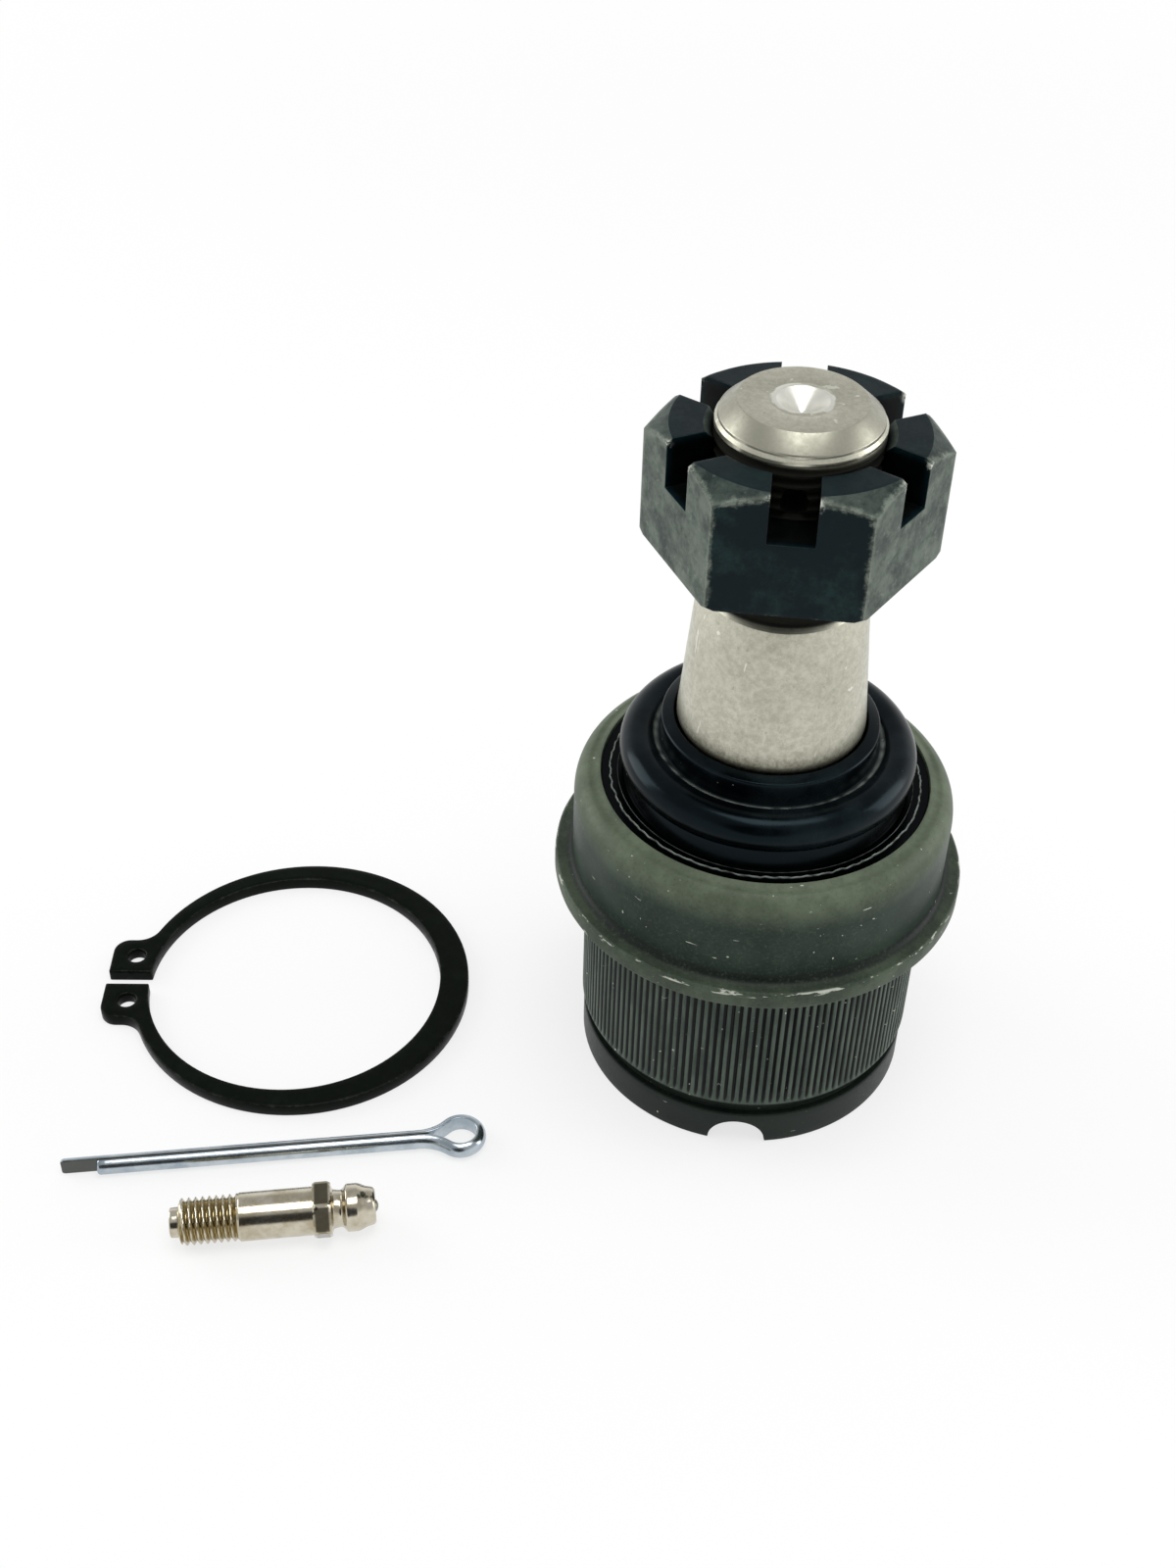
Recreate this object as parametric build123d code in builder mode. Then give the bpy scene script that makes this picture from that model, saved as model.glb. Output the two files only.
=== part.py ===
"""Press-in suspension ball joint: forged body, sprung bearings, ball stud, dust boot, slotted nut and loose fittings.

Origin: on the body's axis, level with its lower rim. +Z points up the stud. Millimetres throughout.
"""

import os
from math import asin, cos, degrees, radians, sin, sqrt, tan

from build123d import *

# Clearances
RUNNING_GAP = 0.05
SOFT_GAP = 0.3
SEAT_GAP = 0.02
PIN_HOLE_GAP = 0.39

# Body, outside
RIM_WALL = 3.0
COLLAR_HEIGHT = 5.75
GROOVE_WIDTH = 2.55
GROOVE_DEPTH = 1.05
KNURL_STEP = 0.28
KNURL_DEPTH = 0.32
KNURL_TEETH = 142
KNURL_CREST_SHARE = 0.4
KNURL_PLAIN_LAND = 0.4
FLANGE_REACH = 2.53
FLANGE_RISE = 6.63
FLANGE_THICKNESS = 2.72
FLANGE_EDGE = 0.4
SHELL_WALL = 1.6
SHELL_ROOT_FILLET = 1.4
ROLL_HEIGHT = 4.33
ROLL_FULLNESS = 0.71
LIP_GAP = 1.04
LIP_EDGE = 0.4
NOTCH_RADIUS = 4.05
NOTCH_CENTRE_HEIGHT = 0.25
NOTCH_TURN = 2.9

# Body, inside
BEARING_WALL = 3.9
COVER_LEDGE = 1.25
COVER_TOP = 8.9
CRIMP_REACH = 1.25
CRIMP_THICKNESS = 1.0
THROAT_LIP = 1.2
THROAT_LENGTH = 6.1
THROAT_TOP_LIP = 0.2

# Ball stud
BALL_RADIUS = 15.5
BALL_FOOT_GAP = 1.4
BALL_FLAT_RADIUS = 5.5
NECK_RADIUS = 9.3
NECK_LENGTH = 2.8
SEAL_LAND_RADIUS = 11.6
SEAL_LAND_BELOW_COLLAR = 1.8
SEAL_LAND_IN_COLLAR = 2.7
TAPER_FOOT_HEIGHT = 2.3
TAPER_FOOT_STEP = 0.9
TAPER_BOTTOM_ROUND = 1.6
TAPER_RATE = 1 / 12
TAPER_LENGTH = 15.7
SHOULDER_LENGTH = 3.65
THREAD_STEP = 0.89
RELIEF_DEPTH = 0.9
RELIEF_LENGTH = 2.0
THREAD_LENGTH = 23.85
POINT_STEP = 0.35
POINT_LENGTH = 0.4
POINT_CHAMFER_WIDTH = 1.85
POINT_CHAMFER_LENGTH = 1.9
CENTRE_RADIUS = 3.2
CENTRE_ANGLE = 110.0
COTTER_HOLE_RISE = 2.05

# Bearings, springs and cover
BEARING_PARTING = 0.1
BEARING_MOUTH_INSET = 3.5
BEARING_LIP = 0.81
LOWER_BEARING_DROP = 4.3
PRESSURE_PLATE_THICKNESS = 1.3
PRESSURE_PLATE_BORE = 10.2
DISC_INSET = 2.9
DISC_BORE = 10.2
DISC_THICKNESS = 0.95
DISC_DISH = 0.65
COVER_THICKNESS = 4.0
COVER_BOSS_RADIUS = 6.4
COVER_BOSS_DROP = 3.1
COVER_BOSS_EDGE = 0.4
COVER_RIM = 6.05
COVER_DISH_DEPTH = 1.0
GREASE_HOLE_RADIUS = 2.75
SEAL_SECTION_RADIUS = 0.7
SEAL_SIDE_GAP = 0.2

# Boot
BEAD_THICKNESS = 2.8
RETAINER_THICKNESS = 2.4
RETAINER_WIDTH = 3.64
RETAINER_GAP = 1.3
SLEEVE_STEP = 2.1
SLEEVE_WALL = 1.5
SLEEVE_DROP = 0.6
FOLD_RISE = 4.85
FOLD_SECTION_RADIUS = 2.75
FOLD_OVERLAP = 0.05
FOLD_WALL = 1.4
FOLD_JOIN_ANGLE = 60.0
BOOT_LIP_RISE = 1.45
BOOT_LIP_THICKNESS = 0.45
BOOT_COLLAR_WALL = 2.0
BOOT_COLLAR_HEIGHT = 3.75
BOOT_COLLAR_RISE = 0.5
INSERT_DEPTH = 1.0
INSERT_WIDTH = 1.0
INSERT_HEIGHT = 1.5
INSERT_RISE = 1.1

# Slotted nut
NUT_WALL = 5.77
NUT_RISE = 6.58
NUT_HEIGHT = 16.35
NUT_CHAMFER_INSET = 0.42
NUT_CHAMFER_ANGLE = 34.0
NUT_SLOTS = 6
NUT_SLOT_WIDTH = 5.68
NUT_SLOT_DEPTH = 6.53
NUT_TURN = 1.0
NUT_COUNTERSINK = 1.15
NUT_BASE_CHAMFER = 0.5

# Snap ring, open and loose beside the body
RING_GRIP = 0.5
RING_WIDTH = 3.3
RING_ECCENTRICITY = 1.05
RING_THICKNESS = 2.05
RING_X = -67.9
RING_Y = -3.78
RING_TURN = 188.3
RING_GAP = 2.5
LUG_LENGTH = 6.5
LUG_WIDTH = 6.86
LUG_CORNER = 2.4
LUG_ROOT_FILLET = 3.4
LUG_HOLE_RADIUS = 1.375
LUG_HOLE_DEPTH = 3.2

# Cotter pin, loose beside the body
PIN_RADIUS = 1.31
PIN_LEG_GAP = 0.06
PIN_LONG_LEG = 51.0
PIN_SHORT_LEG = 46.0
PIN_EYE_RADIUS = 2.25
PIN_THROAT_RADIUS = 3.45
PIN_X = -33.95
PIN_Y = -28.72
PIN_TURN = 14.6

# Grease fitting, loose beside the body
FITTING_X = -72.76
FITTING_Y = -51.88
FITTING_TURN = 14.75
FITTING_TIP_RADIUS = 2.0
FITTING_TIP_LENGTH = 1.1
FITTING_THREAD_STEP = 0.075
FITTING_THREAD_LENGTH = 8.1
FITTING_THREAD_LEAD = 0.3
FITTING_SHANK_RADIUS = 3.25
FITTING_SHANK_LENGTH = 9.85
FITTING_HEX_STEP = 0.25
FITTING_HEX_LENGTH = 2.45
FITTING_NECK_DEPTH = 0.3
FITTING_NECK_LENGTH = 1.4
FITTING_HEAD_LENGTH = 2.6
FITTING_NOSE_STEP = 0.8
FITTING_NOSE_LENGTH = 1.9
FITTING_PASSAGE_RADIUS = 0.8
CHECK_BALL_RADIUS = 1.15
CHECK_BALL_SHOWS = 0.4
CHECK_BALL_OVERLAP = 0.2
CHECK_SPRING_WIRE_RADIUS = 0.17
CHECK_SPRING_LENGTH = 5.0
CHECK_SPRING_TURNS = 5

# Radii that follow from the sizes, from the ball outwards
SEAT_RADIUS = BALL_RADIUS + RUNNING_GAP
UPPER_BEARING_MOUTH = BALL_RADIUS - BEARING_MOUTH_INSET
THROAT_RADIUS = UPPER_BEARING_MOUTH + THROAT_LIP
MAIN_BORE_RADIUS = BALL_RADIUS + BEARING_WALL
BEARING_RADIUS = MAIN_BORE_RADIUS - RUNNING_GAP
DISC_RADIUS = MAIN_BORE_RADIUS - DISC_INSET
COVER_BORE_RADIUS = MAIN_BORE_RADIUS + COVER_LEDGE
COVER_DISH_RADIUS = COVER_BORE_RADIUS - COVER_RIM
CRIMP_RADIUS = COVER_BORE_RADIUS - CRIMP_REACH
COLLAR_RADIUS = COVER_BORE_RADIUS + RIM_WALL
GROOVE_RADIUS = COLLAR_RADIUS - GROOVE_DEPTH
KNURL_RADIUS = COLLAR_RADIUS + KNURL_STEP
RING_BORE_RADIUS = GROOVE_RADIUS - RING_GRIP
RING_OUTER_RADIUS = RING_BORE_RADIUS + RING_WIDTH
LUG_REACH = RING_BORE_RADIUS + LUG_LENGTH
LUG_HOLE_CIRCLE = RING_BORE_RADIUS + LUG_HOLE_DEPTH

# Radii that follow from the sizes, from the stud outwards
TAPER_BOTTOM_RADIUS = SEAL_LAND_RADIUS + TAPER_FOOT_STEP
TAPER_TOP_RADIUS = TAPER_BOTTOM_RADIUS - TAPER_RATE * TAPER_LENGTH
THREAD_RADIUS = TAPER_TOP_RADIUS - THREAD_STEP
SHOULDER_RADIUS = THREAD_RADIUS - SEAT_GAP
RELIEF_RADIUS = THREAD_RADIUS - RELIEF_DEPTH
POINT_RADIUS = THREAD_RADIUS - POINT_STEP
STUD_END_RADIUS = POINT_RADIUS - POINT_CHAMFER_WIDTH
NUT_BORE_RADIUS = THREAD_RADIUS + RUNNING_GAP
NUT_FLAT_RADIUS = THREAD_RADIUS + NUT_WALL
NUT_CORNER_RADIUS = NUT_FLAT_RADIUS / cos(radians(30))
NUT_CHAMFER_RADIUS = NUT_FLAT_RADIUS - NUT_CHAMFER_INSET
COTTER_HOLE_RADIUS = PIN_RADIUS + PIN_HOLE_GAP
BOOT_COLLAR_BORE_RADIUS = SEAL_LAND_RADIUS + SOFT_GAP
BOOT_COLLAR_RADIUS = TAPER_BOTTOM_RADIUS + BOOT_COLLAR_WALL
INSERT_RADIUS = BOOT_COLLAR_RADIUS - INSERT_DEPTH
FOLD_RADIUS = BOOT_COLLAR_RADIUS + FOLD_SECTION_RADIUS - FOLD_OVERLAP
SLEEVE_RADIUS = FOLD_RADIUS + SLEEVE_STEP
SLEEVE_BORE_RADIUS = SLEEVE_RADIUS - SLEEVE_WALL
THROAT_TOP_RADIUS = SLEEVE_BORE_RADIUS - THROAT_TOP_LIP
LIP_RADIUS = SLEEVE_RADIUS + LIP_GAP
RETAINER_BORE_RADIUS = SLEEVE_RADIUS + RETAINER_GAP
POCKET_RADIUS = RETAINER_BORE_RADIUS + RETAINER_WIDTH
BEAD_RADIUS = POCKET_RADIUS - RUNNING_GAP
POCKET_CORNER = RETAINER_THICKNESS
SHELL_RADIUS = POCKET_RADIUS + SHELL_WALL
FLANGE_RADIUS = SHELL_RADIUS + FLANGE_REACH

# Heights that follow from the sizes, from the body's foot upwards
GROOVE_TOP = COLLAR_HEIGHT + GROOVE_WIDTH
COVER_BOTTOM = COVER_TOP - COVER_THICKNESS
PLATE_BOTTOM = COVER_TOP + 2 * (DISC_THICKNESS + DISC_DISH)
LOWER_BEARING_BOTTOM = PLATE_BOTTOM + PRESSURE_PLATE_THICKNESS
BALL_HEIGHT = COVER_TOP + BALL_FOOT_GAP + BALL_RADIUS
LOWER_BEARING_TOP = BALL_HEIGHT - LOWER_BEARING_DROP
UPPER_BEARING_BOTTOM = BALL_HEIGHT + BEARING_PARTING
FLANGE_BOTTOM = BALL_HEIGHT + FLANGE_RISE
FLANGE_TOP = FLANGE_BOTTOM + FLANGE_THICKNESS
BEARING_MOUTH_HEIGHT = BALL_HEIGHT + sqrt(SEAT_RADIUS**2 - UPPER_BEARING_MOUTH**2)
THROAT_BOTTOM = BEARING_MOUTH_HEIGHT + BEARING_LIP
BEAD_SEAT = THROAT_BOTTOM + THROAT_LENGTH
BEAD_TOP = BEAD_SEAT + BEAD_THICKNESS
RETAINER_TOP = BEAD_TOP + RETAINER_THICKNESS
POCKET_TOP = RETAINER_TOP + 2 * RUNNING_GAP
SHELL_TOP = POCKET_TOP + SHELL_WALL
ROLL_BOTTOM = SHELL_TOP - ROLL_HEIGHT
SLEEVE_TOP = SHELL_TOP - SLEEVE_DROP
FOLD_HEIGHT = SLEEVE_TOP + FOLD_RISE
BOOT_COLLAR_BOTTOM = FOLD_HEIGHT + BOOT_LIP_RISE
BOOT_COLLAR_EDGE_HEIGHT = BOOT_COLLAR_BOTTOM + BOOT_COLLAR_HEIGHT
INSERT_BOTTOM = BOOT_COLLAR_BOTTOM + INSERT_RISE
NECK_START = BALL_HEIGHT + sqrt(BALL_RADIUS**2 - NECK_RADIUS**2)
NECK_TOP = NECK_START + NECK_LENGTH
SEAL_LAND_BOTTOM = BOOT_COLLAR_BOTTOM - SEAL_LAND_BELOW_COLLAR
SEAL_LAND_TOP = BOOT_COLLAR_BOTTOM + SEAL_LAND_IN_COLLAR
TAPER_BOTTOM = SEAL_LAND_TOP + TAPER_FOOT_HEIGHT
TAPER_TOP = TAPER_BOTTOM + TAPER_LENGTH
SHOULDER_TOP = TAPER_TOP + SHOULDER_LENGTH
THREAD_TOP = SHOULDER_TOP + THREAD_LENGTH
POINT_TOP = THREAD_TOP + POINT_STEP + POINT_LENGTH
STUD_TOP = POINT_TOP + POINT_CHAMFER_LENGTH
NUT_BOTTOM = SHOULDER_TOP + NUT_RISE
NUT_TOP = NUT_BOTTOM + NUT_HEIGHT
NUT_SLOT_BOTTOM = NUT_TOP - NUT_SLOT_DEPTH

# Places along the grease fitting that follow from the sizes, from its tip
FITTING_THREAD_RADIUS = FITTING_SHANK_RADIUS - FITTING_THREAD_STEP
FITTING_HEX_FLAT_RADIUS = FITTING_SHANK_RADIUS + FITTING_HEX_STEP
FITTING_NECK_RADIUS = FITTING_SHANK_RADIUS - FITTING_NECK_DEPTH
FITTING_HEAD_RADIUS = FITTING_SHANK_RADIUS
FITTING_NOSE_RADIUS = FITTING_HEAD_RADIUS - FITTING_NOSE_STEP
FITTING_BORE_RADIUS = CHECK_BALL_RADIUS + 2 * RUNNING_GAP
FITTING_MOUTH_RADIUS = CHECK_BALL_RADIUS - CHECK_BALL_OVERLAP
THREAD_END = FITTING_TIP_LENGTH + FITTING_THREAD_LENGTH
HEX_START = THREAD_END + FITTING_SHANK_LENGTH
HEX_END = HEX_START + FITTING_HEX_LENGTH
NECK_END = HEX_END + FITTING_NECK_LENGTH
HEAD_END = NECK_END + FITTING_HEAD_LENGTH
NOSE_END = HEAD_END + FITTING_NOSE_LENGTH


def rise_on_sphere(radius, sphere_radius):
    """How far above a sphere's centre its surface has the given radius from the axis."""
    return sqrt(sphere_radius**2 - radius**2)


def corners(sketch, *places):
    """The sketch's corner nearest to each of the places, which are in the sketch's own coordinates."""
    return [sketch.vertices().sort_by_distance(place)[0] for place in places]


def polar(radius, angle):
    """The point at a radius and an angle in degrees."""
    return (radius * cos(radians(angle)), radius * sin(radians(angle)))


def upright_plane(turn, origin=(0, 0, 0)):
    """An upright plane: its x runs level along the turn in degrees, its y runs up."""
    along_x, along_y = polar(1, turn)
    return Plane(origin=origin, x_dir=(along_x, along_y, 0), z_dir=(along_y, -along_x, 0))


os.makedirs("parts", exist_ok=True)

# Body: a turned forging with a serrated press fit, whose shell is rolled in over the boot's retainer.
with BuildPart() as knurl_grooves:
    with BuildSketch(Plane.XY.offset(GROOVE_TOP + KNURL_PLAIN_LAND)):
        Circle(FLANGE_RADIUS)
        tooth_angle = 360 / KNURL_TEETH
        crest_angle = KNURL_CREST_SHARE * tooth_angle
        serrations = []
        for tooth in range(KNURL_TEETH):
            start = tooth * tooth_angle
            serrations.append(polar(KNURL_RADIUS, start))
            serrations.append(polar(KNURL_RADIUS, start + crest_angle))
            serrations.append(polar(KNURL_RADIUS - KNURL_DEPTH, start + (tooth_angle + crest_angle) / 2))
        with BuildLine():
            Polyline(*serrations, close=True)
        make_face(mode=Mode.SUBTRACT)
    extrude(amount=FLANGE_BOTTOM - GROOVE_TOP - KNURL_PLAIN_LAND)

with BuildPart() as housing:
    with BuildSketch(Plane.XZ) as body_section:
        with BuildLine():
            Polyline(
                (LIP_RADIUS, SHELL_TOP),
                (LIP_RADIUS, POCKET_TOP),
                (POCKET_RADIUS, POCKET_TOP),
                (POCKET_RADIUS, BEAD_SEAT),
                (THROAT_TOP_RADIUS, BEAD_SEAT),
                (THROAT_RADIUS, THROAT_BOTTOM),
                (MAIN_BORE_RADIUS, THROAT_BOTTOM),
                (MAIN_BORE_RADIUS, COVER_TOP),
                (COVER_BORE_RADIUS, COVER_TOP),
                (COVER_BORE_RADIUS, COVER_BOTTOM),
                (CRIMP_RADIUS, COVER_BOTTOM),
                (COVER_BORE_RADIUS, COVER_BOTTOM - CRIMP_THICKNESS),
                (COVER_BORE_RADIUS, 0),
                (COLLAR_RADIUS, 0),
                (COLLAR_RADIUS, COLLAR_HEIGHT),
                (GROOVE_RADIUS, COLLAR_HEIGHT),
                (GROOVE_RADIUS, GROOVE_TOP),
                (KNURL_RADIUS, GROOVE_TOP),
                (KNURL_RADIUS, FLANGE_BOTTOM),
                (FLANGE_RADIUS, FLANGE_BOTTOM),
                (FLANGE_RADIUS, FLANGE_TOP),
                (SHELL_RADIUS, FLANGE_TOP),
                (SHELL_RADIUS, ROLL_BOTTOM),
            )
            Bezier(
                (SHELL_RADIUS, ROLL_BOTTOM),
                (SHELL_RADIUS, ROLL_BOTTOM + ROLL_FULLNESS * ROLL_HEIGHT),
                (LIP_RADIUS + ROLL_FULLNESS * (SHELL_RADIUS - LIP_RADIUS), SHELL_TOP),
                (LIP_RADIUS, SHELL_TOP),
            )
        make_face()
        fillet(corners(body_section, (SHELL_RADIUS, FLANGE_TOP)), SHELL_ROOT_FILLET)
        fillet(corners(body_section, (POCKET_RADIUS, POCKET_TOP)), POCKET_CORNER)
        fillet(corners(body_section, (LIP_RADIUS, SHELL_TOP)), LIP_EDGE)
        chamfer(
            corners(body_section, (FLANGE_RADIUS, FLANGE_TOP), (FLANGE_RADIUS, FLANGE_BOTTOM)),
            FLANGE_EDGE,
        )
    revolve(axis=Axis.Z)
    add(knurl_grooves.part, mode=Mode.SUBTRACT)
    notch_depth = sqrt(COVER_BORE_RADIUS**2 - NOTCH_RADIUS**2)
    with BuildSketch(upright_plane(NOTCH_TURN).offset(notch_depth)):
        with Locations((0, NOTCH_CENTRE_HEIGHT)):
            Circle(NOTCH_RADIUS)
    extrude(amount=COLLAR_RADIUS, mode=Mode.SUBTRACT)
housing.part.label = "housing"
export_step(housing.part, "parts/housing.step")

# Cover plate: closes the bore from below, held by the crimped rim, with a boss for the grease fitting.
seal_radius = COVER_BORE_RADIUS - RUNNING_GAP - SEAL_SECTION_RADIUS
seal_height = COVER_BOTTOM + COVER_THICKNESS / 2
with BuildPart() as cover_plate:
    with BuildSketch(Plane.XZ) as cover_section:
        with BuildLine():
            Polyline(
                (GREASE_HOLE_RADIUS, COVER_BOTTOM - COVER_BOSS_DROP),
                (COVER_BOSS_RADIUS, COVER_BOTTOM - COVER_BOSS_DROP),
                (COVER_BOSS_RADIUS, COVER_BOTTOM + COVER_DISH_DEPTH),
                (COVER_DISH_RADIUS, COVER_BOTTOM + COVER_DISH_DEPTH),
                (COVER_DISH_RADIUS + COVER_DISH_DEPTH, COVER_BOTTOM),
                (COVER_BORE_RADIUS - RUNNING_GAP, COVER_BOTTOM),
                (COVER_BORE_RADIUS - RUNNING_GAP, COVER_TOP),
                (GREASE_HOLE_RADIUS, COVER_TOP),
                close=True,
            )
        make_face()
        chamfer(corners(cover_section, (COVER_BOSS_RADIUS, COVER_BOTTOM - COVER_BOSS_DROP)), COVER_BOSS_EDGE)
        with Locations((COVER_BORE_RADIUS, seal_height)):
            seal_groove_depth = COVER_BORE_RADIUS - seal_radius + SEAL_SECTION_RADIUS + RUNNING_GAP
            Rectangle(2 * seal_groove_depth, 2 * (SEAL_SECTION_RADIUS + SEAL_SIDE_GAP), mode=Mode.SUBTRACT)
    revolve(axis=Axis.Z)
cover_plate.part.label = "cover_plate"
export_step(cover_plate.part, "parts/cover_plate.step")

with BuildPart() as cover_seal:
    with BuildSketch(Plane.XZ):
        with Locations((seal_radius, seal_height)):
            Circle(SEAL_SECTION_RADIUS)
    revolve(axis=Axis.Z)
cover_seal.part.label = "cover_seal"
export_step(cover_seal.part, "parts/cover_seal.step")


def disc_spring(outer_height, inner_height):
    """A conical disc spring, given the heights of its lower face at the rim and at the bore."""
    with BuildPart() as disc:
        with BuildSketch(Plane.XZ):
            with BuildLine():
                Polyline(
                    (DISC_BORE, inner_height),
                    (DISC_RADIUS, outer_height),
                    (DISC_RADIUS, outer_height + DISC_THICKNESS),
                    (DISC_BORE, inner_height + DISC_THICKNESS),
                    close=True,
                )
            make_face()
        revolve(axis=Axis.Z)
    return disc


# Two disc springs in series, bore edges together, hold the pressure plate up.
disc_spring_lower = disc_spring(COVER_TOP, COVER_TOP + DISC_DISH)
disc_spring_lower.part.label = "disc_spring_lower"
export_step(disc_spring_lower.part, "parts/disc_spring_lower.step")

disc_spring_upper = disc_spring(PLATE_BOTTOM - DISC_THICKNESS, PLATE_BOTTOM - DISC_THICKNESS - DISC_DISH)
disc_spring_upper.part.label = "disc_spring_upper"
export_step(disc_spring_upper.part, "parts/disc_spring_upper.step")

with BuildPart() as pressure_plate:
    with BuildSketch(Plane.XY.offset(PLATE_BOTTOM)):
        Circle(BEARING_RADIUS)
        Circle(PRESSURE_PLATE_BORE, mode=Mode.SUBTRACT)
    extrude(amount=PRESSURE_PLATE_THICKNESS)
pressure_plate.part.label = "pressure_plate"
export_step(pressure_plate.part, "parts/pressure_plate.step")

# Bearings: rings with a spherical seat, below and above the ball's middle.
with BuildPart() as lower_bearing:
    with BuildSketch(Plane.XY.offset(LOWER_BEARING_BOTTOM)):
        Circle(BEARING_RADIUS)
    extrude(amount=LOWER_BEARING_TOP - LOWER_BEARING_BOTTOM)
    with Locations((0, 0, BALL_HEIGHT)):
        Sphere(SEAT_RADIUS, mode=Mode.SUBTRACT)
lower_bearing.part.label = "lower_bearing"
export_step(lower_bearing.part, "parts/lower_bearing.step")

with BuildPart() as upper_bearing:
    with BuildSketch(Plane.XZ):
        with BuildLine():
            Polyline(
                (0, UPPER_BEARING_BOTTOM),
                (BEARING_RADIUS, UPPER_BEARING_BOTTOM),
                (BEARING_RADIUS, THROAT_BOTTOM - SEAT_GAP),
                (THROAT_RADIUS, THROAT_BOTTOM - SEAT_GAP),
                (UPPER_BEARING_MOUTH, BEARING_MOUTH_HEIGHT),
                (0, BEARING_MOUTH_HEIGHT),
                close=True,
            )
        make_face()
    revolve(axis=Axis.Z)
    with Locations((0, 0, BALL_HEIGHT)):
        Sphere(SEAT_RADIUS, mode=Mode.SUBTRACT)
upper_bearing.part.label = "upper_bearing"
export_step(upper_bearing.part, "parts/upper_bearing.step")

# Ball stud: ball, neck, seal land, taper, thread relief, thread and chamfered point.
with BuildPart() as ball_stud:
    ball_bottom = BALL_HEIGHT - rise_on_sphere(BALL_FLAT_RADIUS, BALL_RADIUS)
    with BuildSketch(Plane.XZ) as stud_section:
        with BuildLine():
            Polyline((0, STUD_TOP), (0, ball_bottom), (BALL_FLAT_RADIUS, ball_bottom))
            ThreePointArc((BALL_FLAT_RADIUS, ball_bottom), (BALL_RADIUS, BALL_HEIGHT), (NECK_RADIUS, NECK_START))
            Line((NECK_RADIUS, NECK_START), (NECK_RADIUS, NECK_TOP))
            Spline(
                (NECK_RADIUS, NECK_TOP),
                (SEAL_LAND_RADIUS, SEAL_LAND_BOTTOM),
                tangents=((0, 1), (0, 1)),
            )
            Polyline(
                (SEAL_LAND_RADIUS, SEAL_LAND_BOTTOM),
                (SEAL_LAND_RADIUS, SEAL_LAND_TOP),
                (TAPER_BOTTOM_RADIUS, TAPER_BOTTOM - TAPER_BOTTOM_ROUND / 2),
                (TAPER_BOTTOM_RADIUS, TAPER_BOTTOM),
                (TAPER_TOP_RADIUS, TAPER_TOP),
                (SHOULDER_RADIUS, SHOULDER_TOP),
                (RELIEF_RADIUS, SHOULDER_TOP + SHOULDER_RADIUS - RELIEF_RADIUS),
                (RELIEF_RADIUS, SHOULDER_TOP + RELIEF_LENGTH),
                (THREAD_RADIUS, SHOULDER_TOP + RELIEF_LENGTH + RELIEF_DEPTH),
                (THREAD_RADIUS, THREAD_TOP),
                (POINT_RADIUS, THREAD_TOP + POINT_STEP),
                (POINT_RADIUS, POINT_TOP),
                (STUD_END_RADIUS, STUD_TOP),
                (0, STUD_TOP),
            )
        make_face()
        taper_foot = (TAPER_BOTTOM_RADIUS, TAPER_BOTTOM - TAPER_BOTTOM_ROUND / 2)
        fillet(corners(stud_section, taper_foot), TAPER_BOTTOM_ROUND / 3)
    revolve(axis=Axis.Z)
    centre_depth = CENTRE_RADIUS / tan(radians(CENTRE_ANGLE / 2))
    with BuildSketch(Plane.XZ):
        with BuildLine():
            Polyline((0, STUD_TOP - centre_depth), (CENTRE_RADIUS, STUD_TOP), (0, STUD_TOP), close=True)
        make_face()
    revolve(axis=Axis.Z, mode=Mode.SUBTRACT)
    with BuildSketch(upright_plane(NUT_TURN)):
        with Locations((0, NUT_SLOT_BOTTOM + COTTER_HOLE_RISE)):
            Circle(COTTER_HOLE_RADIUS)
    extrude(amount=2 * THREAD_RADIUS, both=True, mode=Mode.SUBTRACT)
ball_stud.part.label = "ball_stud"
export_step(ball_stud.part, "parts/ball_stud.step")

# Boot, one moulding in three nodes: the bead clamped in the shell, the fold, and the collar round the stud.
with BuildPart() as boot_bead:
    with BuildSketch(Plane.XZ):
        with BuildLine():
            Polyline(
                (SLEEVE_BORE_RADIUS, BEAD_SEAT),
                (BEAD_RADIUS, BEAD_SEAT),
                (BEAD_RADIUS, BEAD_TOP),
                (SLEEVE_RADIUS, BEAD_TOP),
                (SLEEVE_RADIUS, SLEEVE_TOP),
                (SLEEVE_BORE_RADIUS, SLEEVE_TOP),
                close=True,
            )
        make_face()
    revolve(axis=Axis.Z)
boot_bead.part.label = "boot_bead"
export_step(boot_bead.part, "parts/boot_bead.step")

with BuildPart() as boot_retaining_ring:
    with BuildSketch(Plane.XZ) as retainer_section:
        with Locations(((RETAINER_BORE_RADIUS + BEAD_RADIUS) / 2, (BEAD_TOP + RETAINER_TOP) / 2)):
            Rectangle(BEAD_RADIUS - RETAINER_BORE_RADIUS, RETAINER_THICKNESS)
        fillet(corners(retainer_section, (BEAD_RADIUS, RETAINER_TOP)), POCKET_CORNER - 2 * RUNNING_GAP)
    revolve(axis=Axis.Z)
boot_retaining_ring.part.label = "boot_retaining_ring"
export_step(boot_retaining_ring.part, "parts/boot_retaining_ring.step")


def on_fold(radius, angle):
    """The point at an angle in degrees on a circle about the middle of the boot's fold."""
    across, up = polar(radius, angle)
    return (FOLD_RADIUS + across, FOLD_HEIGHT + up)


def fold_angle_at(height, radius):
    """The angle at which the fold's inboard side, of the given radius, passes a height."""
    return 180 - degrees(asin((height - FOLD_HEIGHT) / radius))


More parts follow.
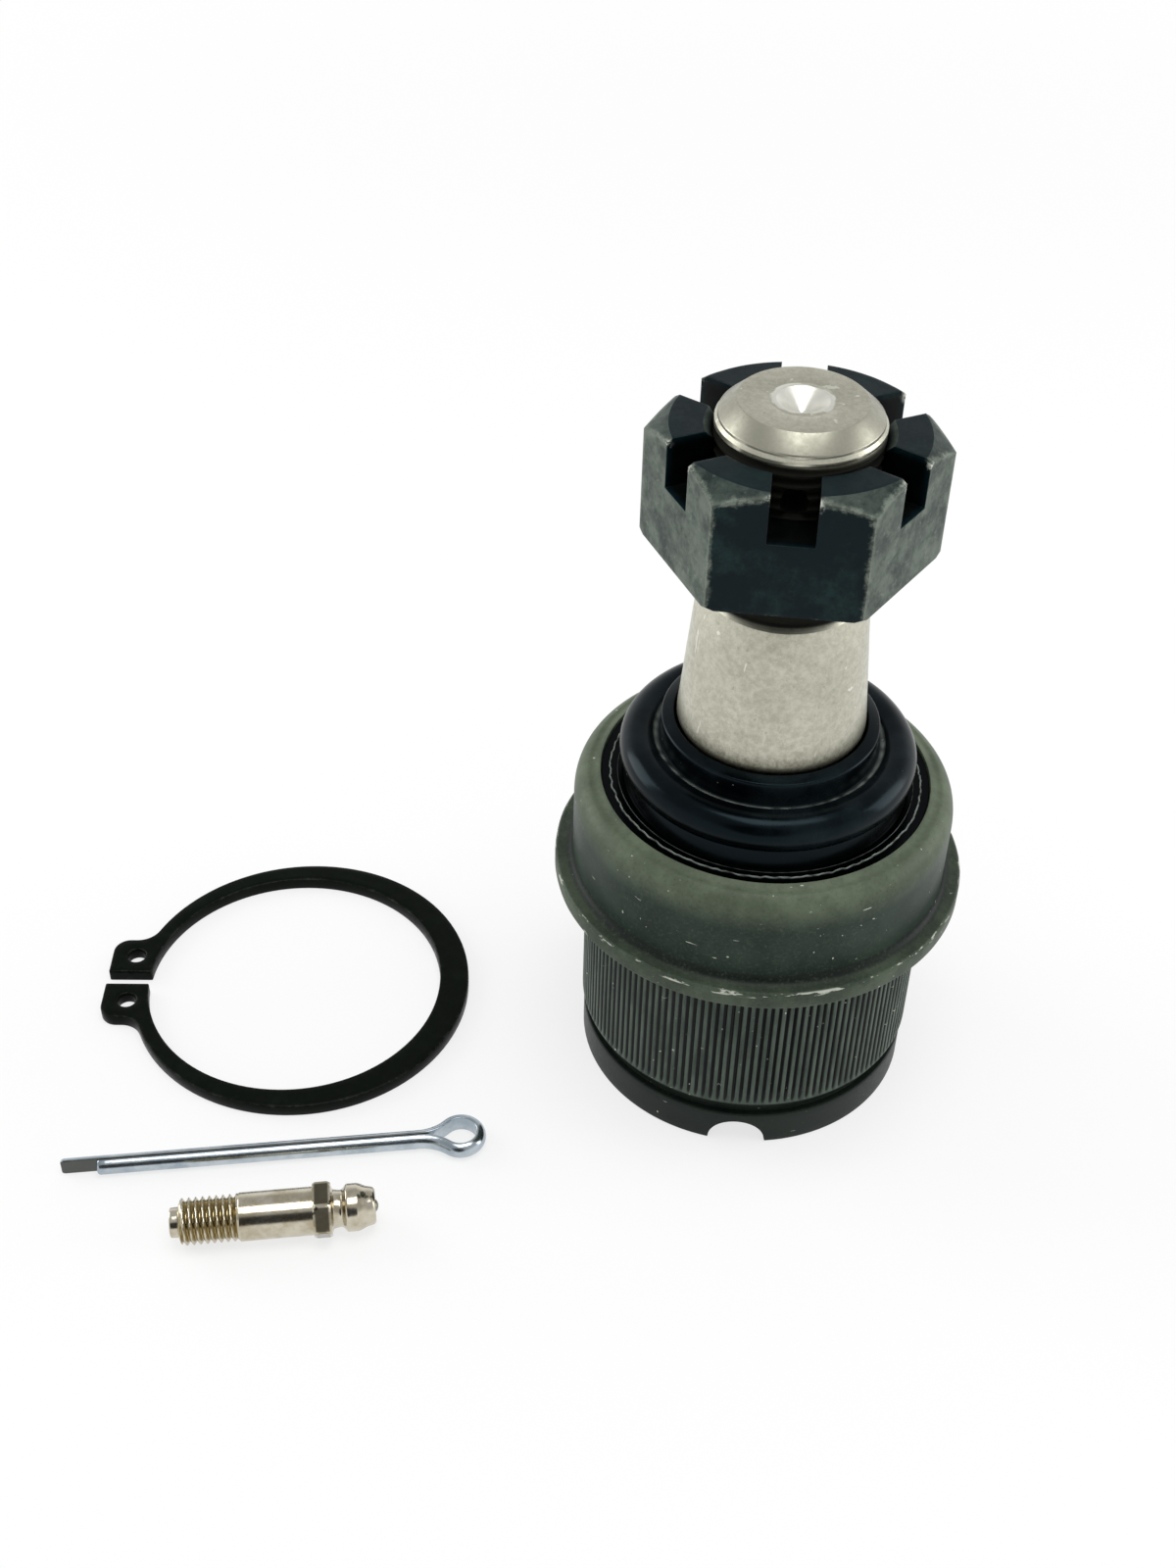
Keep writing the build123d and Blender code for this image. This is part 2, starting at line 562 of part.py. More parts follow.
boot_lip_top = BOOT_COLLAR_BOTTOM + BOOT_LIP_THICKNESS
lip_angle = fold_angle_at(boot_lip_top, FOLD_SECTION_RADIUS)
boot_lip_radius = on_fold(FOLD_SECTION_RADIUS, lip_angle)[0]
with BuildPart() as boot_bellows:
    fold_core_radius = FOLD_SECTION_RADIUS - FOLD_WALL
    web_bottom = BOOT_COLLAR_BOTTOM - FOLD_WALL
    core_angle = fold_angle_at(web_bottom, fold_core_radius)
    web_bore_radius = SEAL_LAND_RADIUS + 2 * SOFT_GAP
    with BuildSketch(Plane.XZ):
        with BuildLine():
            Line((SLEEVE_RADIUS, SLEEVE_TOP), on_fold(FOLD_SECTION_RADIUS, -FOLD_JOIN_ANGLE))
            ThreePointArc(
                on_fold(FOLD_SECTION_RADIUS, -FOLD_JOIN_ANGLE),
                on_fold(FOLD_SECTION_RADIUS, (lip_angle - FOLD_JOIN_ANGLE) / 2),
                on_fold(FOLD_SECTION_RADIUS, lip_angle),
            )
            Polyline(
                on_fold(FOLD_SECTION_RADIUS, lip_angle),
                (boot_lip_radius, BOOT_COLLAR_BOTTOM),
                (web_bore_radius, BOOT_COLLAR_BOTTOM),
                (web_bore_radius, web_bottom),
                on_fold(fold_core_radius, core_angle),
            )
            ThreePointArc(
                on_fold(fold_core_radius, core_angle),
                on_fold(fold_core_radius, (core_angle - FOLD_JOIN_ANGLE) / 2),
                on_fold(fold_core_radius, -FOLD_JOIN_ANGLE),
            )
            Polyline(
                on_fold(fold_core_radius, -FOLD_JOIN_ANGLE),
                (SLEEVE_BORE_RADIUS, SLEEVE_TOP),
                (SLEEVE_RADIUS, SLEEVE_TOP),
            )
        make_face()
    revolve(axis=Axis.Z)
boot_bellows.part.label = "boot_bellows"
export_step(boot_bellows.part, "parts/boot_bellows.step")

with BuildPart() as boot_collar:
    with BuildSketch(Plane.XZ):
        with BuildLine():
            Polyline(
                (BOOT_COLLAR_BORE_RADIUS, BOOT_COLLAR_BOTTOM),
                (boot_lip_radius - RUNNING_GAP, BOOT_COLLAR_BOTTOM),
                (boot_lip_radius - RUNNING_GAP, boot_lip_top),
                (BOOT_COLLAR_RADIUS, boot_lip_top + BOOT_LIP_THICKNESS),
                (BOOT_COLLAR_RADIUS, BOOT_COLLAR_EDGE_HEIGHT),
                (TAPER_BOTTOM_RADIUS + SOFT_GAP, BOOT_COLLAR_EDGE_HEIGHT + BOOT_COLLAR_RISE),
                (TAPER_BOTTOM_RADIUS + SOFT_GAP, SEAL_LAND_TOP + SOFT_GAP),
                (BOOT_COLLAR_BORE_RADIUS, SEAL_LAND_TOP - SOFT_GAP),
                close=True,
            )
        make_face()
        with Locations((BOOT_COLLAR_BORE_RADIUS, INSERT_BOTTOM + INSERT_HEIGHT / 2)):
            insert_seat_depth = INSERT_RADIUS + SEAT_GAP - BOOT_COLLAR_BORE_RADIUS
            Rectangle(2 * insert_seat_depth, INSERT_HEIGHT + 2 * SEAT_GAP, mode=Mode.SUBTRACT)
    revolve(axis=Axis.Z)
boot_collar.part.label = "boot_collar"
export_step(boot_collar.part, "parts/boot_collar.step")

with BuildPart() as collar_insert_ring:
    with BuildSketch(Plane.XY.offset(INSERT_BOTTOM)):
        Circle(INSERT_RADIUS)
        Circle(INSERT_RADIUS - INSERT_WIDTH, mode=Mode.SUBTRACT)
    extrude(amount=INSERT_HEIGHT)
collar_insert_ring.part.label = "collar_insert_ring"
export_step(collar_insert_ring.part, "parts/collar_insert_ring.step")

# Slotted hexagon nut, with its slots in the middle of the flats.
with BuildPart() as castle_nut:
    with BuildSketch(Plane.XY.offset(NUT_BOTTOM)):
        RegularPolygon(NUT_CORNER_RADIUS, 6, rotation=NUT_TURN)
    extrude(amount=NUT_HEIGHT)
    chamfer_drop = (NUT_CORNER_RADIUS - NUT_CHAMFER_RADIUS) * tan(radians(NUT_CHAMFER_ANGLE))
    with BuildSketch(Plane.XZ):
        with BuildLine():
            Polyline(
                (NUT_BORE_RADIUS, NUT_BOTTOM + NUT_COUNTERSINK),
                (NUT_BORE_RADIUS + NUT_COUNTERSINK, NUT_BOTTOM),
                (NUT_CORNER_RADIUS - NUT_BASE_CHAMFER, NUT_BOTTOM),
                (NUT_CORNER_RADIUS, NUT_BOTTOM + NUT_BASE_CHAMFER),
                (NUT_CORNER_RADIUS, NUT_TOP - chamfer_drop),
                (NUT_CHAMFER_RADIUS, NUT_TOP),
                (NUT_BORE_RADIUS + NUT_COUNTERSINK, NUT_TOP),
                (NUT_BORE_RADIUS, NUT_TOP - NUT_COUNTERSINK),
                close=True,
            )
        make_face()
    revolve(axis=Axis.Z, mode=Mode.INTERSECT)
    with BuildSketch(Plane.XY.offset(NUT_SLOT_BOTTOM)):
        with PolarLocations(NUT_CORNER_RADIUS, NUT_SLOTS, start_angle=NUT_TURN + 180 / NUT_SLOTS):
            Rectangle(2 * (NUT_CORNER_RADIUS - NUT_BORE_RADIUS / 2), NUT_SLOT_WIDTH)
    extrude(amount=2 * NUT_SLOT_DEPTH, mode=Mode.SUBTRACT)
castle_nut.part.label = "castle_nut"
export_step(castle_nut.part, "parts/castle_nut.step")

# Snap ring: an eccentric band, widest opposite its gap, with two eared ends.
with BuildPart() as snap_ring:
    ring_along_x, ring_along_y = polar(1, RING_TURN)
    ring_plane = Plane(origin=(RING_X, RING_Y, 0), x_dir=(ring_along_x, ring_along_y, 0), z_dir=(0, 0, 1))
    lug_side = RING_GAP / 2 + LUG_WIDTH
    lug_root = sqrt(RING_OUTER_RADIUS**2 - lug_side**2) - RING_ECCENTRICITY
    lug_hole_angle = degrees(asin((RING_GAP / 2 + LUG_WIDTH / 2) / LUG_HOLE_CIRCLE))
    with BuildSketch(ring_plane) as ring_sketch:
        with Locations((-RING_ECCENTRICITY, 0)):
            Circle(RING_OUTER_RADIUS)
        with Locations((LUG_REACH / 2, 0)):
            Rectangle(LUG_REACH, 2 * lug_side)
        fillet(corners(ring_sketch, (lug_root, lug_side), (lug_root, -lug_side)), LUG_ROOT_FILLET)
        fillet(corners(ring_sketch, (LUG_REACH, lug_side), (LUG_REACH, -lug_side)), LUG_CORNER)
        Circle(RING_BORE_RADIUS, mode=Mode.SUBTRACT)
        with Locations((LUG_REACH, 0)):
            Rectangle(2 * LUG_REACH, RING_GAP, mode=Mode.SUBTRACT)
        with Locations(polar(LUG_HOLE_CIRCLE, lug_hole_angle), polar(LUG_HOLE_CIRCLE, -lug_hole_angle)):
            Circle(LUG_HOLE_RADIUS, mode=Mode.SUBTRACT)
    extrude(amount=RING_THICKNESS)
snap_ring.part.label = "snap_ring"
export_step(snap_ring.part, "parts/snap_ring.step")

# Cotter pin: half-round wire folded flat to flat, with an open eye and one leg longer.
with BuildPart() as cotter_pin:
    pin_along_x, pin_along_y = polar(1, PIN_TURN)
    pin_plane = Plane(origin=(PIN_X, PIN_Y, PIN_RADIUS), x_dir=(pin_along_x, pin_along_y, 0), z_dir=(0, 0, 1))
    bend_radius = PIN_EYE_RADIUS + PIN_THROAT_RADIUS
    throat_length = sqrt(bend_radius**2 - (PIN_THROAT_RADIUS + PIN_LEG_GAP / 2) ** 2)
    throat_turn = degrees(asin(throat_length / bend_radius))
    throat_place = -(PIN_EYE_RADIUS + PIN_RADIUS) - throat_length
    with BuildLine(pin_plane) as pin_path:
        long_leg = Line((throat_place - PIN_LONG_LEG, PIN_LEG_GAP / 2), (throat_place, PIN_LEG_GAP / 2))
        leaving = JernArc(long_leg @ 1, long_leg % 1, PIN_THROAT_RADIUS, throat_turn)
        eye = JernArc(leaving @ 1, leaving % 1, PIN_EYE_RADIUS, -(180 + 2 * throat_turn))
        returning = JernArc(eye @ 1, eye % 1, PIN_THROAT_RADIUS, throat_turn)
        short_leg = Line(returning @ 1, (returning @ 1) + (returning % 1) * PIN_SHORT_LEG)
    with BuildSketch(Plane(long_leg @ 0, x_dir=(-pin_along_y, pin_along_x, 0), z_dir=long_leg % 0)):
        Circle(PIN_RADIUS)
        with Locations((-PIN_RADIUS, 0)):
            Rectangle(2 * PIN_RADIUS, 2 * PIN_RADIUS, mode=Mode.SUBTRACT)
    sweep(path=pin_path.line)
cotter_pin.part.label = "cotter_pin"
export_step(cotter_pin.part, "parts/cotter_pin.step")

# Grease fitting: threaded tip, plain shank, small hexagon, and a head with a sprung check ball.
fitting_plane = upright_plane(FITTING_TURN, (FITTING_X, FITTING_Y, FITTING_HEX_FLAT_RADIUS))
fitting_axis = Axis(fitting_plane.origin, fitting_plane.x_dir)
ball_place = NOSE_END + CHECK_BALL_SHOWS - CHECK_BALL_RADIUS
coil_radius = FITTING_BORE_RADIUS - CHECK_SPRING_WIRE_RADIUS - 2 * RUNNING_GAP
spring_end = ball_place - rise_on_sphere(coil_radius, CHECK_BALL_RADIUS + CHECK_SPRING_WIRE_RADIUS + SEAT_GAP)
spring_start = spring_end - CHECK_SPRING_LENGTH
spring_seat = spring_start - CHECK_SPRING_WIRE_RADIUS - SEAT_GAP


def along_fitting(distance):
    """The point on the fitting's axis at a distance from its tip."""
    return fitting_plane.from_local_coords(Vector(distance, 0))


with BuildPart() as grease_fitting:
    with BuildSketch(fitting_plane):
        with BuildLine():
            Polyline(
                (HEX_END, FITTING_SHANK_RADIUS),
                (THREAD_END, FITTING_SHANK_RADIUS),
                (THREAD_END, FITTING_THREAD_RADIUS),
                (FITTING_TIP_LENGTH + FITTING_THREAD_LEAD, FITTING_THREAD_RADIUS),
                (FITTING_TIP_LENGTH, FITTING_TIP_RADIUS),
                (0, FITTING_TIP_RADIUS),
                (0, FITTING_PASSAGE_RADIUS),
                (spring_seat, FITTING_PASSAGE_RADIUS),
                (spring_seat, FITTING_BORE_RADIUS),
                (ball_place, FITTING_BORE_RADIUS),
                (NOSE_END, FITTING_MOUTH_RADIUS),
                (NOSE_END, FITTING_NOSE_RADIUS),
                (HEAD_END, FITTING_HEAD_RADIUS),
            )
            Spline(
                (HEAD_END, FITTING_HEAD_RADIUS),
                (NECK_END, FITTING_NECK_RADIUS),
                (HEX_END, FITTING_SHANK_RADIUS),
                tangents=((-1, 0), (-1, 0.5)),
            )
        make_face()
    revolve(axis=fitting_axis)
    with BuildSketch(Plane(along_fitting(HEX_START), x_dir=(0, 0, 1), z_dir=fitting_plane.x_dir)):
        RegularPolygon(FITTING_HEX_FLAT_RADIUS, 6, major_radius=False, rotation=30)
        Circle(FITTING_SHANK_RADIUS, mode=Mode.SUBTRACT)
    extrude(amount=FITTING_HEX_LENGTH)
grease_fitting.part.label = "grease_fitting"
export_step(grease_fitting.part, "parts/grease_fitting.step")

with BuildPart() as fitting_check_ball:
    with Locations(along_fitting(ball_place)):
        Sphere(CHECK_BALL_RADIUS)
fitting_check_ball.part.label = "fitting_check_ball"
export_step(fitting_check_ball.part, "parts/fitting_check_ball.step")

with BuildPart() as fitting_spring:
    with BuildLine() as coil:
        Helix(
            pitch=CHECK_SPRING_LENGTH / CHECK_SPRING_TURNS,
            height=CHECK_SPRING_LENGTH,
            radius=coil_radius,
            center=along_fitting(spring_start),
            direction=fitting_plane.x_dir,
        )
    with BuildSketch(Plane(coil.line @ 0, z_dir=coil.line % 0)):
        Circle(CHECK_SPRING_WIRE_RADIUS)
    sweep(path=coil.line, is_frenet=True)
fitting_spring.part.label = "fitting_spring"
export_step(fitting_spring.part, "parts/fitting_spring.step")
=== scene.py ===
"""Dresses the press-in ball joint: body, stud, boot and nut, and the loose hardware that lies beside it.

The frame gives every node in place. Rigid pieces whose detail is finer than the frame's (serrations, threads,
rolled edges, the boot's fold) are made here as surfaces on grids, and stand for the nodes that they replace.
"""

import logging
import math
from collections.abc import Callable
from dataclasses import dataclass
from enum import Enum

import bmesh
import bpy
import numpy as np
from mathutils import Matrix, Vector


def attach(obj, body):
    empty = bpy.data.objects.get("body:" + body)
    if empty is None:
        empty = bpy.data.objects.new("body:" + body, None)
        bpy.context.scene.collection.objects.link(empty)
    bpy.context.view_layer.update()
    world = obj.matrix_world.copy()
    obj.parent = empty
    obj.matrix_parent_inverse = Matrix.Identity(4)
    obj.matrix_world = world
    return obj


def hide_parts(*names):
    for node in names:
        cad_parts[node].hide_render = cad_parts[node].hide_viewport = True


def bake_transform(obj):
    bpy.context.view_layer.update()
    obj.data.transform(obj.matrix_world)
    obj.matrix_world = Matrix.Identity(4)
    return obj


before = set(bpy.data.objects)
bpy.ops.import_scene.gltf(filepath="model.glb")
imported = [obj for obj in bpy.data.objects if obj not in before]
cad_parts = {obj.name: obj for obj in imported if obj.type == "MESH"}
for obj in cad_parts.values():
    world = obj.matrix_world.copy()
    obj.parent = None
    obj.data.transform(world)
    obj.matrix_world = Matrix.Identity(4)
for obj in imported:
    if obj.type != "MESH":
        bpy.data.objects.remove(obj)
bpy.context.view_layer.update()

MM = 0.001
TAU = 2 * math.pi
MERGE = 1e-7  # metres: a grid's points that are nearer than this are one point
LOG = logging.getLogger("ball_joint")

Node = bpy.types.Node
Socket = bpy.types.NodeSocket
Object = bpy.types.Object
Colour = tuple[float, float, float]
Corner = tuple[float, float, float]  # radius, height and rounding, in millimetres
Noise = tuple[float, float, float]  # cycles per metre, octaves and how rough they are
Change = tuple[float, float, float, float]  # a range, and the values before and after it
Range = tuple[float, float]  # where a change starts and ends
Share = tuple[float, float]  # the values that 0 and 1 become
Place = tuple[float, float, float]


# ----------------------------------------------------------------------------------------------------------
# Surfaces on grids
# ----------------------------------------------------------------------------------------------------------


def rounded(corners: list[Corner], step_degrees: float = 15.0) -> np.ndarray:
    """A section line through corners, each rounded by an arc that is tangent to both of its sides.

    Formula: with unit vectors u and v from the corner to its neighbours and half angle h between them, the
    arc of radius r starts r / tan(h) away along each side, and its centre lies r / sin(h) along the
    bisector.

    Args:
        corners: (radius, height, rounding) in millimetres; the first and last are never rounded.
        step_degrees: how far the line may turn between two points of an arc.

    Returns:
        The line as an array of (radius, height).
    """
    nearly_straight = math.pi / 2 - 0.01
    runs = [np.array([corners[0][:2]])]
    for before, here, after in zip(corners, corners[1:], corners[2:]):
        corner, rounding = np.array(here[:2]), here[2]
        u = np.array(before[:2]) - corner
        v = np.array(after[:2]) - corner
        u, v = u / np.linalg.norm(u), v / np.linalg.norm(v)
        half = math.acos(float(np.clip(u @ v, -1, 1))) / 2
        if rounding <= 0 or half > nearly_straight:
            runs.append(corner[None])
            continue
        reach = rounding / math.tan(half)
        centre = corner + (u + v) / np.linalg.norm(u + v) * rounding / math.sin(half)
        start, end = corner + u * reach - centre, corner + v * reach - centre
        turn = math.pi - 2 * half
        count = max(2, math.ceil(math.degrees(turn) / step_degrees) + 1)
        share = np.linspace(0, 1, count)[:, None]
        arc = (np.sin((1 - share) * turn) * start + np.sin(share * turn) * end) / math.sin(turn)
        runs.append(centre + arc)
    runs.append(np.array([corners[-1][:2]]))
    return np.concatenate(runs)


def subdivided(line: np.ndarray, longest: float) -> np.ndarray:
    """A line with points added on its long stretches, by linear interpolation over its length.

    Args:
        line: points of (radius, height).
        longest: the longest stretch to leave, in the line's unit.

    Returns:
        The line with at least the points that it had.
    """
    length = np.concatenate([[0], np.cumsum(np.linalg.norm(np.diff(line, axis=0), axis=1))])
    parts = np.maximum(1, np.ceil(np.diff(length) / longest).astype(int))
    share = np.concatenate([np.arange(n) / n for n in parts] + [[1.0]])
    first = np.concatenate([np.repeat(np.arange(len(parts)), parts), [len(parts) - 1]])
    at = length[first] + share * (length[first + 1] - length[first])
    return np.stack([np.interp(at, length, line[:, 0]), np.interp(at, length, line[:, 1])], axis=1)


def turned(radius: np.ndarray, height: np.ndarray, angle: np.ndarray) -> np.ndarray:
    """Points of a surface about the z axis: (r cos a, r sin a, z), broadcast over rows and columns."""
    radius, height, angle = np.broadcast_arrays(radius, height, angle)
    return np.stack([radius * np.cos(angle), radius * np.sin(angle), height], axis=-1)


def settled(solid: bmesh.types.BMesh, mesh: bpy.types.Mesh, sharp_degrees: float) -> None:
    """Writes worked geometry into its mesh, shaded smooth but for the edges that turn sharply.

    Args:
        solid: the geometry, which is freed.
        mesh: the mesh to write.
        sharp_degrees: edges that turn by more than this stay sharp.
    """
    solid.to_mesh(mesh)
    solid.free()
    mesh.shade_smooth()
    mesh.set_sharp_from_angle(angle=math.radians(sharp_degrees))


def linked(name: str, data: bpy.types.ID) -> Object:
    """A new object in the scene.

    Args:
        name: the object's name.
        data: its mesh, light or camera.

    Returns:
        The object, at the origin.
    """
    made = bpy.data.objects.new(name, data)
    bpy.context.scene.collection.objects.link(made)
    return made


def grid_object(name: str, points: np.ndarray, close_rows: bool, sharp_degrees: float = 40.0) -> Object:
    """A closed mesh on a grid whose columns always wrap round.

    Faces join neighbouring points in rows and columns. Doubled points, such as a pole's, are merged, and the
    faces are turned outwards if the volume, a sixth of the sum of each face's triple product, is negative.

    Args:
        name: the object's name.
        points: rows x columns x 3, in millimetres.
        close_rows: whether the last row joins the first; otherwise the end rows are poles or are capped.
        sharp_degrees: edges that turn by more than this stay sharp.

    Returns:
        The object, linked to the scene, in metres.
    """
    rows, columns, _ = points.shape
    row = np.arange(rows if close_rows else rows - 1)[:, None]
    column = np.arange(columns)[None, :]
    next_row, next_column = (row + 1) % rows, (column + 1) % columns
    faces = np.stack(
        [row * columns + column, row * columns + next_column,
         next_row * columns + next_column, next_row * columns + column], axis=-1,
    ).reshape(-1, 4)
    mesh = bpy.data.meshes.new(name)
    mesh.from_pydata((points.reshape(-1, 3) * MM).tolist(), [], faces.tolist())
    sheet = bmesh.new()
    sheet.from_mesh(mesh)
    bmesh.ops.remove_doubles(sheet, verts=sheet.verts, dist=MERGE)
    bmesh.ops.holes_fill(sheet, edges=[e for e in sheet.edges if e.is_boundary], sides=0)
    if sheet.calc_volume(signed=True) < 0:
        bmesh.ops.reverse_faces(sheet, faces=sheet.faces)
    settled(sheet, mesh, sharp_degrees)
    return linked(name, mesh)


def noise_ring(angle: np.ndarray, seed: int, waves: int, lowest: int, highest: int) -> np.ndarray:
    """An even unevenness round a circle: a sum of sines with seeded whole frequencies and phases.

    Formula: the sum of sin(n a + p) over the waves, divided by the root of their number and by what a sum of
    that kind rarely passes.

    Args:
        angle: angles in radians.
        seed: the same seed gives the same ring.
        waves: how many sines are added.
        lowest: the fewest cycles round the circle.
        highest: one more than the most cycles round the circle.

    Returns:
        A value for each angle, about -1 to 1.
    """
    rarely_passed = 1.6
    pick = np.random.default_rng(seed)
    counts = pick.integers(lowest, highest, waves)
    phases = pick.uniform(0, TAU, waves)
    total = np.sin(angle[..., None] * counts + phases).sum(-1)
    return total / math.sqrt(waves) / rarely_passed


@dataclass(frozen=True)
class Softening:
    """How a CAD node is refined: lengths in metres and angles in degrees."""

    weld: float = 2e-6
    level_angle: float = 0.6
    edge_angle: float = 24.0
    sharp_angle: float = 32.0
    bevel_segments: int = 2
    splits: int = 7
    least_reach: float = 0.4
    pairs_at_once: int = 4_000_000


def softened_copy(
    name: str, node: str, width: float, spacing: float, reach: float,
    weigh: Callable[[np.ndarray], np.ndarray] | None = None, how: Softening = Softening(),
) -> Object:
    """A finer copy of a CAD node: its edges rounded by a small bevel, with a wear value, highest along them.

    Loose triangles are merged and level ones joined first, so that the bevel runs along the real edges.

    Args:
        name: the new object's name.
        node: the CAD node to copy.
        width: the bevel's width in millimetres.
        spacing: the longest edge to leave, in millimetres.
        reach: how far wear spreads from an edge of weight 1, in millimetres.
        weigh: gives each edge's weight from its two ends (edges x 2 x 3, in millimetres), or all weigh 1.
        how: the refining's own sizes.

    Returns:
        The copy, which still has to ride on a body.
    """
    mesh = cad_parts[node].data.copy()
    mesh.name = name
    mesh.materials.clear()
    solid = bmesh.new()
    solid.from_mesh(mesh)
    bmesh.ops.remove_doubles(solid, verts=solid.verts, dist=how.weld)
    level = math.radians(how.level_angle)
    bmesh.ops.dissolve_limit(solid, angle_limit=level, verts=solid.verts, edges=solid.edges)
    least = math.radians(how.edge_angle)
    turning = [e for e in solid.edges if e.is_manifold and e.calc_face_angle(0) > least]
    corners = np.array([[v.co[:] for v in e.verts] for e in turning])
    bmesh.ops.bevel(solid, geom=turning, offset=width * MM, segments=how.bevel_segments, profile=0.5,
                    affect="EDGES", clamp_overlap=True, offset_type="OFFSET")
    bmesh.ops.triangulate(solid, faces=solid.faces)
    for _ in range(how.splits):
        long_edges = [e for e in solid.edges if e.calc_length() > spacing * MM]
        if not long_edges:
            break
        bmesh.ops.subdivide_edges(solid, edges=long_edges, cuts=1, use_grid_fill=False)
        bmesh.ops.triangulate(solid, faces=solid.faces)
    bmesh.ops.remove_doubles(solid, verts=solid.verts, dist=MERGE)
    bmesh.ops.recalc_face_normals(solid, faces=solid.faces)
    settled(solid, mesh, how.sharp_angle)
    made = linked(name, mesh)
    weight = np.ones(len(corners)) if weigh is None else weigh(corners / MM)
    mark(made, "wear", edge_wear(mesh, corners[weight > 0], weight[weight > 0], reach * MM, how))
    return made


def edge_wear(
    mesh: bpy.types.Mesh, edges: np.ndarray, weight: np.ndarray, reach: float, how: Softening,
) -> np.ndarray:
    """How worn each point of a mesh is by the edges near it.

    The wear at a point is the most that any edge gives it: w (1 - d / (reach (s + (1 - s) w))) squared, for
    the edge's weight w, the distance d to it and the least share s of the reach, and 0 beyond that reach.

    Args:
        mesh: the mesh.
        edges: edges x 2 x 3, in metres.
        weight: a weight for each edge, above 0 and up to 1.
        reach: how far wear spreads from an edge of weight 1, in metres.
        how: the refining's own sizes.

    Returns:
        A value for each point, from 0 to 1.
    """
    points = np.empty(len(mesh.vertices) * 3, np.float32)
    mesh.vertices.foreach_get("co", points)
    points, weight = points.reshape(-1, 1, 3), weight.astype(np.float32)
    start, along = edges[None, :, 0].astype(np.float32), (edges[:, 1] - edges[:, 0])[None].astype(np.float32)
    spread = (reach * (how.least_reach + (1 - how.least_reach) * weight)).astype(np.float32)
    wear = np.zeros(len(points), np.float32)
    parts = max(1, len(points) * len(edges) // how.pairs_at_once)
    for part in np.array_split(np.arange(len(points)), parts):
        share = np.clip(((points[part] - start) * along).sum(-1) / (along**2).sum(-1), 0, 1)
        distance = np.linalg.norm(points[part] - start - share[..., None] * along, axis=-1)
        wear[part] = (weight * np.clip(1 - distance / spread, 0, 1) ** 2).max(1)
    return wear


def points_of(piece: Object) -> np.ndarray:
    """A piece's points.

    Args:
        piece: an object with a mesh.

    Returns:
        Points x 3, in millimetres.
    """
    points = np.empty(len(piece.data.vertices) * 3)
    piece.data.vertices.foreach_get("co", points)
    return points.reshape(-1, 3) / MM


def mark(piece: Object, name: str, value: np.ndarray) -> None:
    """Gives each point of a piece a value that its finish can read."""
    piece.data.attributes.new(name, "FLOAT", "POINT").data.foreach_set("value", value.astype(np.float32))


# ----------------------------------------------------------------------------------------------------------
# Finishes
# ----------------------------------------------------------------------------------------------------------


@dataclass(frozen=True)
class Pattern:
    """A noise pattern: its noise, the noise values where it starts and ends, and what they become."""

    noise: Noise
    start: float
    end: float
    low: float = 0.0
    high: float = 1.0
    stretch: Colour = (1.0, 1.0, 1.0)


class Nodes:
    """A node graph, with short methods for the nodes that the finishes and the surroundings share."""

    def __init__(self, tree: bpy.types.NodeTree) -> None:
        """Takes the graph to add to."""
        self.tree = tree

    def add(self, kind: str, **settings: object) -> Node:
        """Adds a node.

        Args:
            kind: the node's type.
            settings: its properties, by name.

        Returns:
            The node.
        """
        made = self.tree.nodes.new(kind)
        for key, value in settings.items():
            setattr(made, key, value)
        return made

    def put(self, socket: Socket, value: object) -> None:
        """Links an output to a socket, or sets the socket's own value.

        Args:
            socket: the input.
            value: an output, or a plain value.
        """
        if isinstance(value, bpy.types.NodeSocket):
            self.tree.links.new(value, socket)
        else:
            socket.default_value = value

    def fill(self, node: Node, values: dict[str | int, object]) -> None:
        """Puts a value in each named or numbered input of a node."""
        for key, value in values.items():
            self.put(node.inputs[key], value)

    def maths(self, operation: str, a: object, b: object, clamp: bool = False) -> Socket:
        """A Math node's output.

        Args:
            operation: what the node does.
            a: the first value, a number or a socket.
            b: the second value, a number or a socket.
            clamp: whether the result is kept between 0 and 1.

        Returns:
            The result.
        """
        made = self.add("ShaderNodeMath", operation=operation, use_clamp=clamp)
        self.fill(made, {0: a, 1: b})
        return made.outputs[0]

    def times(self, a: object, b: object, clamp: bool = False) -> Socket:
        """The product of two values."""
        return self.maths("MULTIPLY", a, b, clamp)

    def most(self, a: object, b: object) -> Socket:
        """The greater of two values."""
        return self.maths("MAXIMUM", a, b)

    def spread(
        self, value: Socket, start: float, end: float, low: object = 0.0, high: object = 1.0,
    ) -> Socket:
        """A value carried smoothly from one range to another and held at its ends.

        Args:
            value: the value that is read.
            start: where the change starts.
            end: where the change ends.
            low: the result up to the start, a number or a socket.
            high: the result from the end on, a number or a socket.

        Returns:
            The new value.
        """
        made = self.add("ShaderNodeMapRange", interpolation_type="SMOOTHSTEP")
        self.fill(made, {"Value": value, "From Min": start, "From Max": end, "To Min": low, "To Max": high})
        return made.outputs["Result"]

    def shared(self, value: Socket, low: float, high: float) -> Socket:
        """A value of 0 to 1, carried to between two others."""
        return self.spread(value, 0.0, 1.0, low, high)


